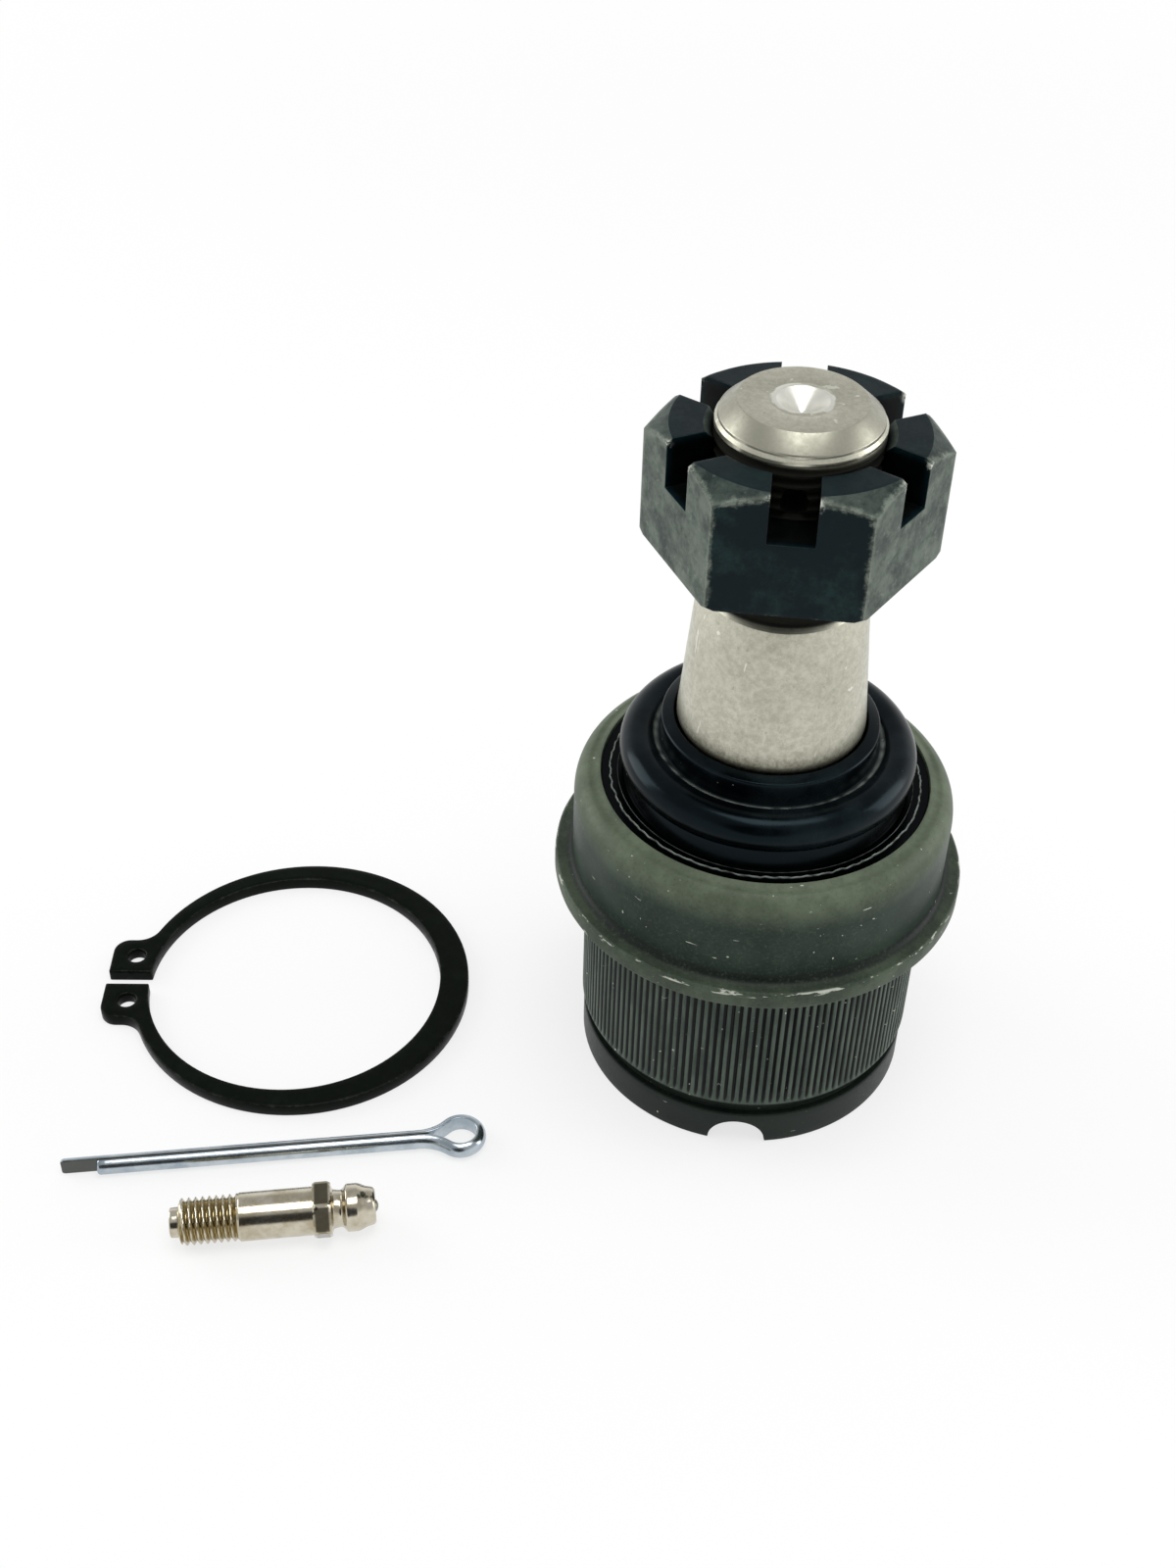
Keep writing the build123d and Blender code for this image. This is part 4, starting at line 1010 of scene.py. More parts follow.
@dataclass
class Body:
    """The forged body, with its serrated fit and rolled lip, and the pieces inside it. Sizes in mm."""

    finishes: Finishes
    collar_radius: float = 23.65
    collar_top: float = 5.75
    groove_top: float = 8.30
    groove_radius: float = 22.60
    knurl_radius: float = 23.93
    knurl_depth: float = 0.32
    knurl_teeth: int = 142
    crest_share: float = 0.4
    columns_per_tooth: int = 8
    flange_bottom: float = 32.43
    flange_top: float = 35.15
    flange_radius: float = 28.37
    shell_radius: float = 25.84
    shell_top: float = 49.50
    lip_radius: float = 20.34
    lip_edge: float = 22.35
    dish_radius: float = 23.25
    dish_width: float = 0.85
    dish_depth: float = 0.20
    roll_height: float = 4.33
    roll_fullness: float = 0.71
    bore_radius: float = 19.4
    cover_bore_radius: float = 20.65
    cover_top: float = 8.9
    crimp_radius: float = 24.24
    seat_height: float = 42.6
    seat_radius: float = 17.6
    pocket_radius: float = 13.2
    pocket_top: float = 36.5
    notch_radius: float = 4.05
    notch_height: float = 0.25
    notch_turn: float = 2.9
    notch_top: float = 4.6
    dent: float = 0.05
    outer_step: float = 1.3
    inner_step: float = 3.0

    def outer_line(self) -> np.ndarray:
        """The body's outside, from its foot up to the rolled lip's top.

        The roll is a cubic Bezier between the shell's wall and the lip: its handles are roll_fullness times
        the roll's height and reach long. It ends at the lip's edge, and a dish (1 - x^2)^2 deep is pressed
        into it.

        Returns:
            Points of (radius, height).
        """
        below = rounded([
            (self.cover_bore_radius, 0.0, 0),
            (self.collar_radius, 0.0, 0.45),
            (self.collar_radius, self.collar_top, 0.25),
            (self.groove_radius, self.collar_top, 0.12),
            (self.groove_radius, self.groove_top, 0.12),
            (self.knurl_radius, self.groove_top, 0.15),
            (self.knurl_radius, self.flange_bottom, 0.12),
            (self.flange_radius, self.flange_bottom, 0.42),
            (self.flange_radius, self.flange_top, 0.50),
            (self.shell_radius, self.flange_top, 1.4),
            (self.shell_radius, self.shell_top - self.roll_height, 0),
        ])
        reach = self.shell_radius - self.lip_radius
        start = np.array([self.shell_radius, self.shell_top - self.roll_height])
        end = np.array([self.lip_radius, self.shell_top])
        pull = np.array([start, start + [0, self.roll_fullness * self.roll_height],
                         end + [self.roll_fullness * reach, 0], end])
        t = np.linspace(0, 1, 22)[1:, None]
        roll = ((1 - t) ** 3 * pull[0] + 3 * (1 - t) ** 2 * t * pull[1] + 3 * (1 - t) * t**2 * pull[2]
                + t**3 * pull[3])
        edge = [self.lip_edge, np.interp(-self.lip_edge, -roll[:, 0], roll[:, 1])]
        roll = np.concatenate([roll[roll[:, 0] > self.lip_edge + 0.05], [edge]])
        roll = subdivided(np.concatenate([[start], roll]), 0.25)[1:]
        across = np.clip((roll[:, 0] - self.dish_radius) / self.dish_width, -1, 1)
        roll[:, 1] -= self.dish_depth * (1 - across**2) ** 2
        return np.concatenate([below, roll])

    def inner_line(self) -> np.ndarray:
        """The body's inside, from the lip down to the foot.

        Returns:
            Points of (radius, height).
        """
        return rounded([
            (self.lip_edge - 0.12, self.shell_top - 0.35, 0),
            (self.lip_edge - 0.14, self.shell_top - 1.5, 0),
            (self.crimp_radius, self.shell_top - 1.75, 0.3),
            (self.crimp_radius, self.seat_height, 0),
            (self.seat_radius, self.seat_height, 0),
            (self.pocket_radius, self.pocket_top, 0),
            (self.bore_radius, self.pocket_top, 0),
            (self.bore_radius, self.cover_top, 0),
            (self.cover_bore_radius, self.cover_top, 0),
            (self.cover_bore_radius, 4.9, 0),
            (self.cover_bore_radius - 1.1, 4.85, 0),
            (self.cover_bore_radius - 0.9, 3.9, 0.2),
            (self.cover_bore_radius, 2.8, 0.2),
            (self.cover_bore_radius, 0.0, 0),
        ])

    def build(self) -> Object:
        """Makes the body as one grid: section points by rows, angles by columns.

        In each serration, the share of the way from crest to root is 1.15 (1 - |2s - 1|) for the position s
        across the groove, and 1 at most. It fades in over three quarters of a millimetre of height, so that
        the grooves have pointed ends. The notch lifts the foot: within its width, every point is at least as
        high as its round arch. The rim is dented by a sum of sines.

        Returns:
            The body.
        """
        outer = subdivided(self.outer_line(), self.outer_step)
        inner = subdivided(self.inner_line(), self.inner_step)[:-1]
        line = np.concatenate([outer, inner])
        apart = np.linalg.norm(np.diff(line, axis=0), axis=1) > 1e-4
        line = line[np.concatenate([[True], apart])]
        columns = self.knurl_teeth * self.columns_per_tooth
        angle = np.arange(columns) / columns * TAU
        r, z = line[:, :1], line[:, 1:]
        within = np.arange(columns) % self.columns_per_tooth / self.columns_per_tooth
        across = np.clip((within - self.crest_share) / (1 - self.crest_share), 0, 1)
        groove = np.clip(1.15 * (1 - np.abs(2 * across - 1)), 0, 1)
        on_knurl = np.clip((r - self.knurl_radius + 0.3) * 20, 0, 1) * (r < self.knurl_radius + 0.01)
        rise = np.clip((z - self.groove_top - 0.25) / 0.75, 0, 1) * (z < self.flange_bottom)
        nick = 1 + 0.06 * noise_ring(angle, seed=5, waves=14, lowest=20, highest=420)
        radius = r - self.knurl_depth * np.minimum(groove, rise * 1.02) * nick * on_knurl * (rise > 0)
        height = np.broadcast_to(z, radius.shape).copy()
        notch = math.radians(self.notch_turn - 90)
        off = np.abs((angle - notch + math.pi) % TAU - math.pi) * self.collar_radius
        arch = self.notch_height + np.sqrt(np.clip(self.notch_radius**2 - off**2, 0, None))
        foot = (z < self.notch_top) & (r > self.cover_bore_radius - 0.05) & (off < self.notch_radius)
        height = np.where(foot, np.maximum(height, arch), height)
        dents = self.dent * noise_ring(angle, seed=11, waves=8, lowest=2, highest=26)
        on_flange = (z > self.flange_bottom - 0.1) & (z < self.flange_top + 0.15)
        on_rim = np.clip((r - self.flange_radius + 0.6) * 2, 0, 1) * on_flange
        radius = radius + dents * on_rim - self.dent * on_rim
        points = turned(radius, height, angle)
        piece = grid_object("forged_body", points, close_rows=True, sharp_degrees=50)
        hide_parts("housing")
        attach(piece, "body")
        self.finishes.put(piece, Finish.PHOSPHATE)
        return piece

    def dress_the_inside(self) -> list[Object]:
        """Puts finishes on the pieces inside the body, which the frame gives in place.

        Returns:
            The pieces that were dressed.
        """
        looks = {
            Finish.PLAIN_STEEL: ("cover_plate", "pressure_plate", "boot_retaining_ring"),
            Finish.SPRING: ("disc_spring_lower", "disc_spring_upper"),
            Finish.BEARING: ("lower_bearing", "upper_bearing"),
            Finish.RUBBER: ("cover_seal",),
        }
        dressed = [(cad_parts[name], look) for look, names in looks.items() for name in names]
        for node, look in dressed:
            self.finishes.put(node, look)
        return [node for node, _ in dressed]


# ----------------------------------------------------------------------------------------------------------
# The stud and its boot
# ----------------------------------------------------------------------------------------------------------


@dataclass
class Stud:
    """The ball stud: ball, neck, seal land, taper, and threaded end with its centre. Sizes in mm."""

    finishes: Finishes
    ball_radius: float = 15.5
    ball_height: float = 25.8
    ball_flat: float = 5.5
    neck_radius: float = 9.3
    neck_top: float = 41.0
    land_radius: float = 11.6
    land_bottom: float = 53.4
    shoulder_radius: float = 12.5
    relief_radius: float = 9.4
    thread_radius: float = 10.3
    tip_radius: float = 9.95
    thread_pitch: float = 1.5
    thread_depth: float = 0.80
    thread_bottom: float = 81.9
    thread_top: float = 103.1
    thread_crest: float = 0.09
    thread_flank: float = 0.33
    relief_bottom: float = 81.0
    relief_top: float = 81.6
    tip_height: float = 104.1
    columns: int = 240
    sharp_angle: float = 42.0
    long_step: float = 1.4
    top: float = 106.05
    end_radius: float = 7.85
    centre_radius: float = 3.2
    centre_angle: float = 110.0
    hole_radius: float = 1.7
    hole_height: float = 98.0
    hole_turn: float = 1.0

    def line(self) -> np.ndarray:
        """The stud's outline, from the ball's flat to the bottom of the centre in its end.

        The ball is an arc, and the neck swells to the seal land by a cubic with level ends, r = a + (b -
        a)(3t^2 - 2t^3).

        Returns:
            Points of (radius, height).
        """
        low = -math.acos(self.ball_flat / self.ball_radius)
        high = math.acos(self.neck_radius / self.ball_radius)
        arc = np.linspace(low, high, 44)
        ball = np.stack([self.ball_radius * np.cos(arc),
                         self.ball_height + self.ball_radius * np.sin(arc)], 1)
        t = np.linspace(0, 1, 16)
        neck = np.stack([self.neck_radius + (self.land_radius - self.neck_radius) * (3 * t**2 - 2 * t**3),
                         self.neck_top + (self.land_bottom - self.neck_top) * t], 1)
        shank = rounded([
            (self.land_radius, self.land_bottom + 0.2, 0),
            (self.land_radius, 57.9, 0.3),
            (self.shoulder_radius, 59.4, 0.7),
            (self.shoulder_radius, 60.2, 0),
            (11.19, 75.9, 0.9),
            (10.28, 79.55, 0.15),
            (self.relief_radius, 80.43, 0.25),
            (self.relief_radius, 81.55, 0.25),
            (self.thread_radius, 82.45, 0.1),
            (self.thread_radius, 103.4, 0.12),
            (self.tip_radius, 103.75, 0.15),
            (self.tip_radius, 104.15, 0.30),
            (self.end_radius, self.top, 0.20),
            (4.25, self.top, 0),
            (4.1, self.top - 0.05, 0),
            (3.9, self.top - 0.05, 0),
            (3.75, self.top, 0),
            (self.centre_radius, self.top, 0.12),
            (0.05, self.top - self.centre_radius / math.tan(math.radians(self.centre_angle / 2)), 0),
        ])
        return np.concatenate([[[0.0, ball[0, 1]]], ball, neck, shank])

    def build(self) -> Object:
        """Makes the stud as one grid, with a thread that fades out at both ends and a cross hole.

        The thread's depth at a height z and an angle a follows f = frac(z / pitch - a / 2pi): it is 0 within
        thread_crest of a whole turn, grows evenly over thread_flank, and is flat at the root.

        Returns:
            The stud.
        """
        line = subdivided(self.line(), self.long_step)
        fine = np.arange(self.thread_bottom, self.thread_top + 0.35, self.thread_pitch / 12)
        above = line[:, 1] > self.relief_bottom
        rows = np.unique(np.round(np.concatenate([line[above, 1], fine]), 4))
        spine = line[line[:, 1] <= self.relief_top]
        top_at = int(np.argmax(line[:, 1] > self.tip_height))
        side = line[above & (np.arange(len(line)) < top_at + 1)]
        heights = rows[(rows > spine[-1, 1] + 1e-3) & (rows < side[-1, 1] - 1e-3)]
        threaded = np.stack([np.interp(heights, side[:, 1], side[:, 0]), heights], 1)
        line = np.concatenate([spine, threaded, line[top_at:]])
        angle = np.linspace(0, TAU, self.columns, endpoint=False)
        r, z = line[:, :1], line[:, 1:]
        turn = (z / self.thread_pitch - angle / TAU) % 1
        groove = np.clip((0.5 - np.abs(turn - 0.5) - self.thread_crest) / self.thread_flank, 0, 1)
        fade = np.clip((z - self.thread_bottom) / 0.8, 0, 1) * np.clip((self.thread_top - z) / 0.7, 0, 1)
        outer = np.arange(len(line))[:, None] < len(spine) + len(threaded)
        radius = r - self.thread_depth * groove * fade * outer
        plain = (z > 60) & outer & (fade <= 0)
        radius = radius + 0.012 * noise_ring(angle + z * 0.07, seed=3, waves=10, lowest=2, highest=40) * plain
        radius[0] = 0
        points = turned(radius, z, angle)
        piece = grid_object("turned_stud", points, close_rows=False, sharp_degrees=self.sharp_angle)
        self.drill(piece)
        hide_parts("ball_stud")
        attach(piece, "stud")
        self.finishes.put(piece, Finish.STUD)
        return piece

    def drill(self, piece: Object) -> None:
        """Cuts the cotter hole through the stud, across its axis.

        Args:
            piece: the stud, still a plain grid.
        """
        angle = np.linspace(0, TAU, 32, endpoint=False)
        along = np.array([-14.0, 14.0])[:, None]
        x, y, z = np.broadcast_arrays(self.hole_radius * np.cos(angle), along,
                                      self.hole_height + self.hole_radius * np.sin(angle))
        turn = math.radians(self.hole_turn)
        points = np.stack([x * math.cos(turn) + y * math.sin(turn),
                           x * math.sin(turn) - y * math.cos(turn), z], -1)
        drill = grid_object("cotter_drill", points, close_rows=False)
        cut = piece.modifiers.new("cotter_hole", "BOOLEAN")
        cut.operation = "DIFFERENCE"
        cut.solver = "EXACT"
        cut.object = drill
        graph = bpy.context.evaluated_depsgraph_get()
        mesh = bpy.data.meshes.new_from_object(piece.evaluated_get(graph))
        piece.modifiers.clear()
        piece.data = mesh
        bpy.data.objects.remove(drill)
        solid = bmesh.new()
        solid.from_mesh(mesh)
        bmesh.ops.remove_doubles(solid, verts=solid.verts, dist=MERGE)
        bmesh.ops.recalc_face_normals(solid, faces=solid.faces)
        settled(solid, mesh, self.sharp_angle)


@dataclass
class Boot:
    """The rubber boot: a bead clamped in the body, one fold, and a collar that hugs the stud. Sizes in mm."""

    finishes: Finishes
    sleeve_radius: float = 19.3
    sleeve_top: float = 48.9
    fold_radius: float = 17.2
    fold_height: float = 53.75
    fold_section: float = 2.75
    wall: float = 1.4
    join_angle: float = 60.0
    lip_height: float = 55.65
    step_radius: float = 15.3
    flange_inner: float = 19.36
    flange_outer: float = 22.2
    flange_height: float = 49.0
    fine_line: float = 20.0
    flash_line: float = 21.0
    collar_radius: float = 14.5
    collar_edge: float = 58.95
    collar_rise: float = 0.5
    bore_radius: float = 11.9
    mouth_radius: float = 12.8
    columns: int = 360
    flange_columns: int = 720
    long_step: float = 0.9
    sway: float = 0.07
    waver: float = 0.06

    def line(self) -> np.ndarray:
        """The boot's section as a closed line: riser, fold, lip step, collar, then back down inside.

        The fold is an arc about (fold_radius, fold_height) from minus join_angle to where it meets the lip.

        Returns:
            Points of (radius, height).
        """
        end = math.pi - math.asin((self.lip_height - self.fold_height) / self.fold_section)
        arc = np.linspace(-math.radians(self.join_angle), end, 40)[:, None]
        middle = np.array([self.fold_radius, self.fold_height])
        unit = np.concatenate([np.cos(arc), np.sin(arc)], 1)
        outside = middle + self.fold_section * unit
        lip = outside[-1]
        collar = rounded([
            (lip[0] - 0.02, lip[1] - 0.10, 0),
            (self.collar_radius + 0.18, lip[1] - 0.04, 0.12),
            (self.collar_radius, lip[1] + 0.45, 0.2),
            (self.collar_radius, self.collar_edge, 0.34),
            (self.mouth_radius, self.collar_edge + self.collar_rise, 0.2),
            (self.mouth_radius - 0.02, self.collar_edge - 0.4, 0),
            (self.bore_radius, self.collar_edge - 1.3, 0),
            (self.bore_radius, 55.2, 0),
            (self.bore_radius + 0.3, 53.8, 0),
            (middle[0] - self.fold_section + self.wall + 0.1, 53.8, 0),
        ])
        inside = (middle + (self.fold_section - self.wall) * unit)[::-1][3:]
        foot_height = self.sleeve_top + 0.02
        foot = np.array([[self.sleeve_radius - 1.5, foot_height], [self.sleeve_radius, foot_height]])
        closed = np.concatenate([outside, collar[1:], inside, foot, outside[:1]])
        return subdivided(closed, self.long_step)[:-1]

    def build(self) -> list[Object]:
        """Makes the boot as one grid that bends between the body and the stud, and the flash line it sits in.

        Round the ring the fold draws in by up to sway and sinks by up to waver, both by sums of sines. Each
        fades to nothing at the collar and at the sleeve.

        Returns:
            The boot, and the rubber clamped in the body.
        """
        line = self.line()
        angle = np.linspace(0, TAU, self.columns, endpoint=False)
        r, z = line[:, :1], line[:, 1:]
        free = np.clip((z - self.sleeve_top) / 2, 0, 1) * np.clip((r - 15.1) / 1.5, 0, 1)
        radius = r - self.sway * (1 + noise_ring(angle, seed=21, waves=6, lowest=2, highest=7)) / 2 * free
        height = z - self.waver * (1 + noise_ring(angle, seed=22, waves=6, lowest=2, highest=9)) / 2 * free
        points = turned(radius, height, angle)
        boot = grid_object("moulded_boot", points, close_rows=True, sharp_degrees=50)
        at = points_of(boot)
        off = np.hypot(np.hypot(at[:, 0], at[:, 1]) - self.step_radius, at[:, 2] - self.lip_height)
        around = np.arctan2(at[:, 1], at[:, 0])
        ragged = 0.5 + 0.5 * noise_ring(around, seed=31, waves=12, lowest=1, highest=60)
        mark(boot, "flash", np.clip(1.1 - off / 0.3, 0, 1) * np.clip(ragged + 0.15, 0.1, 1))
        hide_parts("boot_bellows", "boot_collar")
        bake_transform(boot)
        self.finishes.put(boot, Finish.RUBBER)
        for name, look in (("boot_bead", Finish.RUBBER), ("collar_insert_ring", Finish.PLAIN_STEEL)):
            self.finishes.put(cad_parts[name], look)
        return [boot, self.clamped_flange()]

    def clamped_flange(self) -> Object:
        """Makes the rubber inside the body's lip: a flat ring with a fine line and a torn flash line.

        The flash stands up by an eighth to a quarter of a millimetre and wanders by up to 0.15 mm in and out,
        both by sums of sines round the ring.

        Returns:
            The ring.
        """
        line = np.array([
            (self.flange_inner, -0.9), (self.flange_inner, 0.0),
            (self.fine_line - 0.07, 0.02), (self.fine_line, 0.10), (self.fine_line + 0.07, 0.02),
            (self.flash_line - 0.16, 0.02), (self.flash_line - 0.05, 0.20), (self.flash_line + 0.05, 0.22),
            (self.flash_line + 0.15, 0.02), (self.flange_outer - 0.1, 0.0),
            (self.flange_outer, -0.1), (self.flange_outer, -0.9),
        ]) + [0, self.flange_height]
        angle = np.linspace(0, TAU, self.flange_columns, endpoint=False)
        r, z = line[:, :1], line[:, 1:]
        fin = np.zeros((len(line), 1))
        fin[6:8] = 1.0
        wander = 0.10 * noise_ring(angle, seed=41, waves=12, lowest=3, highest=70)
        wander = wander + 0.05 * noise_ring(angle, seed=42, waves=10, lowest=60, highest=160)
        stand = 0.5 + 0.5 * noise_ring(angle, seed=43, waves=12, lowest=5, highest=120)
        near = np.clip(1 - np.abs(r - self.flash_line) / 0.2, 0, 1) > 0.05
        points = turned(r + wander * near, z + fin * 0.12 * (stand - 0.6), angle)
        ring = grid_object("boot_flange", points, close_rows=True, sharp_degrees=30)
        at = points_of(ring)
        top = at[:, 2] - self.flange_height
        inner = np.hypot(at[:, 0], at[:, 1]) < (self.fine_line + self.flash_line) / 2
        around = np.arctan2(at[:, 1], at[:, 0])
        ragged = 0.5 + 0.5 * noise_ring(around, seed=44, waves=14, lowest=1, highest=90)
        torn = np.clip(top / 0.09 - 0.4, 0, 1) * np.where(inner, 0.45, 1.0)
        mark(ring, "flash", torn * np.clip(ragged + 0.3, 0.15, 1))
        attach(ring, "body")
        self.finishes.put(ring, Finish.SHADED_RUBBER)
        return ring


# ----------------------------------------------------------------------------------------------------------
# The nut and the loose hardware
# ----------------------------------------------------------------------------------------------------------


@dataclass
class Nut:
    """The slotted hexagon nut. Sizes in mm, the turn in degrees."""

    finishes: Finishes
    edge: float = 0.22
    spacing: float = 0.75
    wear_reach: float = 1.7
    flat_radius: float = 16.07
    corner_radius: float = 18.56
    cone_radius: float = 15.65
    cone_slope: float = 34.0
    turn: float = 1.0
    bottom: float = 86.13
    top: float = 102.48
    slot_width: float = 5.68

    def inside_by(self, points: np.ndarray) -> np.ndarray:
        """How deep points lie inside the hexagon: the flats' radius less the greatest of six projections."""
        angle = np.radians(self.turn + 30 + 60 * np.arange(6))
        return self.flat_radius - (points[..., :1] * np.cos(angle) + points[..., 1:2] * np.sin(angle)).max(-1)

    def edge_weights(self, ends: np.ndarray) -> np.ndarray:
        """How strongly each edge is rubbed: the hexagon's corners and the cone's arcs most, the slots little.

        Args:
            ends: edges x 2 x 3, in millimetres.

        Returns:
            A weight for each edge, from 0 to 1.
        """
        middle = ends.mean(1)
        radius, depth = np.hypot(middle[:, 0], middle[:, 1]), self.inside_by(middle)
        run = np.abs(ends[:, 1] - ends[:, 0])
        upright = run[:, 2] > 0.9 * np.linalg.norm(run, axis=1)
        weight = np.full(len(ends), 0.22)
        weight[upright & (radius > self.corner_radius - 0.7)] = 0.9
        weight[~upright & (depth < 0.25) & (middle[:, 2] > self.top - 2.6)] = 1.0
        weight[(middle[:, 2] < self.bottom + 0.8) & (radius > self.flat_radius - 0.8)] = 0.35
        weight[(radius < self.cone_radius + 0.1) & (middle[:, 2] > self.top - 0.05)] = 0.0
        weight[radius < 13.0] = 0.0
        return weight

    def build(self) -> Object:
        """Makes the nut with rounded, rubbed edges, a painted shade in its slots and painted glints at the
        slots' top corners.

        The value that paints shade in the slots rises from 0 to 1 between 0.25 and 0.95 mm inside the
        hexagon, below the top and the cone. The nick value, which paints glints, is 1 at a slot's outer
        corners, high on the cone, and falls to 0 within 0.7 mm to the side and 1.1 mm up or down.

        Returns:
            The nut.
        """
        piece = softened_copy("slotted_nut", "castle_nut", self.edge, self.spacing, self.wear_reach,
                              self.edge_weights)
        points = points_of(piece)
        # Painted shade: how deep a point lies in a slot or the bore, below the top and the cone.
        under_top = np.clip((self.top - 0.35 - points[:, 2]) / 0.6, 0, 1)
        above_base = np.clip((points[:, 2] - self.bottom - 0.6) / 0.5, 0, 1)
        past_cone = np.hypot(points[:, 0], points[:, 1]) - self.cone_radius
        cone_height = self.top - past_cone * math.tan(math.radians(self.cone_slope))
        below_cone = np.clip((cone_height - 0.35 - points[:, 2]) / 0.5, 0, 1)
        slot_shade = np.clip((self.inside_by(points) - 0.25) / 0.7, 0, 1) * under_top * above_base * below_cone
        # Painted glints: the nick value marks the slots' outer top corners, where light glints.
        half = math.atan(self.slot_width / 2 / self.flat_radius)
        angle = np.radians(self.turn + 30 + 60 * np.arange(6))[:, None] + np.array([-half, half])
        corner = turned(self.flat_radius / math.cos(half), self.top - 0.75, angle).reshape(1, -1, 3)
        away = (points[:, None] - corner) / np.array([0.55, 0.55, 0.9])
        nick = np.clip(1.2 - np.linalg.norm(away, axis=-1).min(1), 0, 1)
        mark(piece, "slot_shade", slot_shade)
        mark(piece, "nick", nick)
        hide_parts("castle_nut")
        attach(piece, "nut")
        self.finishes.put(piece, Finish.OXIDE)
        return piece


@dataclass
class SnapRing:
    """The snap ring, a flat stamped band with two eared ends. Sizes in mm."""

    finishes: Finishes
    edge: float = 0.22
    spacing: float = 1.2
    wear_reach: float = 0.55

    def build(self) -> Object:
        """Makes the ring with tumbled edges.

        Returns:
            The ring.
        """
        piece = softened_copy("stamped_ring", "snap_ring", self.edge, self.spacing, self.wear_reach)
        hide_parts("snap_ring")
        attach(piece, "ring")
        self.finishes.put(piece, Finish.BLACK_SPRING)
        return piece


@dataclass
class CotterPin:
    """The cotter pin: half-round wire, folded flat to flat. Sizes in mm."""

    finishes: Finishes
    wire: float = 1.31
    gap: float = 0.06
    long_leg: float = 49.5
    short_leg: float = 44.5
    eye: float = 2.25
    throat: float = 7.0
    parting: float = 0.24
    place: tuple[float, float] = (-33.95, -28.72)
    turn: float = 14.6

    def path(self) -> tuple[np.ndarray, np.ndarray]:
        """The wire's middle line and its heading, from the long leg round the eye to the short leg.

        Each bend is an arc: from a point p with heading h it goes on to p + R(n(h) - n(h + a)) for the
        turned angle a, where n is the heading's right-hand side and R is signed, positive to the left.

        Returns:
            Points of (x, y), and the heading at each in radians.
        """
        bend = self.eye + self.throat
        reach = math.sqrt(bend**2 - (self.throat + self.gap / 2) ** 2)
        swing = math.asin(reach / bend)
        start = -(self.eye + self.wire) - reach
        at = np.array([start - self.long_leg, self.gap / 2])
        legs = np.array([0, 0.003, 0.008, *np.linspace(0.03, 1, 24)])
        points = [at + np.stack([legs * self.long_leg, 0 * legs], 1)]
        headings = [np.zeros(len(legs))]
        for radius, angle, count in ((self.throat, swing, 12), (self.eye, -(math.pi + 2 * swing), 44),
                                     (self.throat, swing, 12)):
            here, heading = points[-1][-1], headings[-1][-1]
            side = math.copysign(radius, angle)
            now = heading + np.linspace(0, angle, count)[1:]
            gone = np.stack([np.sin(now) - math.sin(heading), math.cos(heading) - np.cos(now)], 1)
            points.append(here + side * gone)
            headings.append(now)
        here, heading = points[-1][-1], headings[-1][-1]
        back = (1 - legs)[::-1][1:, None] * self.short_leg
        points.append(here + back * np.array([math.cos(heading), math.sin(heading)]))
        headings.append(np.full(len(back), heading))
        return np.concatenate(points), np.concatenate(headings)

    def build(self) -> Object:
        """Makes the pin as one grid: a rounded half-disc carried along the path, its ends drawn in a little.

        Returns:
            The pin.
        """
        middle, heading = self.path()
        section = rounded([(0.0, -0.4, 0), (0.0, -self.wire, 0.12), (0.3, -self.wire * 0.985, 0)])
        arc = np.linspace(-1.35, 1.35, 17)
        arc = np.stack([self.wire * np.cos(arc), self.wire * np.sin(arc)], 1)
        flat_side = [[0.0, 0.5], [0.0, 0.0], [0.0, -0.5]]
        section = np.concatenate([section[1:-1], arc, section[1:-1][::-1] * [1, -1], flat_side])
        count = len(middle)
        end = np.ones(count)
        end[[0, -1]], end[[1, -2]], end[[2, -3]] = 0.80, 0.93, 1.0
        across = section[None, :, 0] * end[:, None] + 0.04 * (1 - end[:, None]) * 5
        up = section[None, :, 1] * end[:, None]
        side = np.stack([-np.sin(heading), np.cos(heading)], 1)[:, None]
        flat = middle[:, None] + side * across[..., None]
        turn = math.radians(self.turn)
        x = self.place[0] + flat[..., 0] * math.cos(turn) - flat[..., 1] * math.sin(turn)
        y = self.place[1] + flat[..., 0] * math.sin(turn) + flat[..., 1] * math.cos(turn)
        points = np.stack([x, y, up + self.wire], -1)
        piece = grid_object("folded_pin", points, close_rows=False, sharp_degrees=50)
        at = points_of(piece)[:, :2] - np.array(self.place)
        along = at[:, 0] * math.cos(turn) + at[:, 1] * math.sin(turn)
        side_step = np.abs(at[:, 1] * math.cos(turn) - at[:, 0] * math.sin(turn))
        # Painted shade: a dark line along the gap between the pin's two legs.
        parted = np.clip((self.parting - side_step) / 0.1, 0, 1)
        mark(piece, "aged_and_gap_shade", (along < -2.6 * self.eye) * parted)
        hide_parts("cotter_pin")
        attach(piece, "pin")
        self.finishes.put(piece, Finish.ZINC)
        return piece


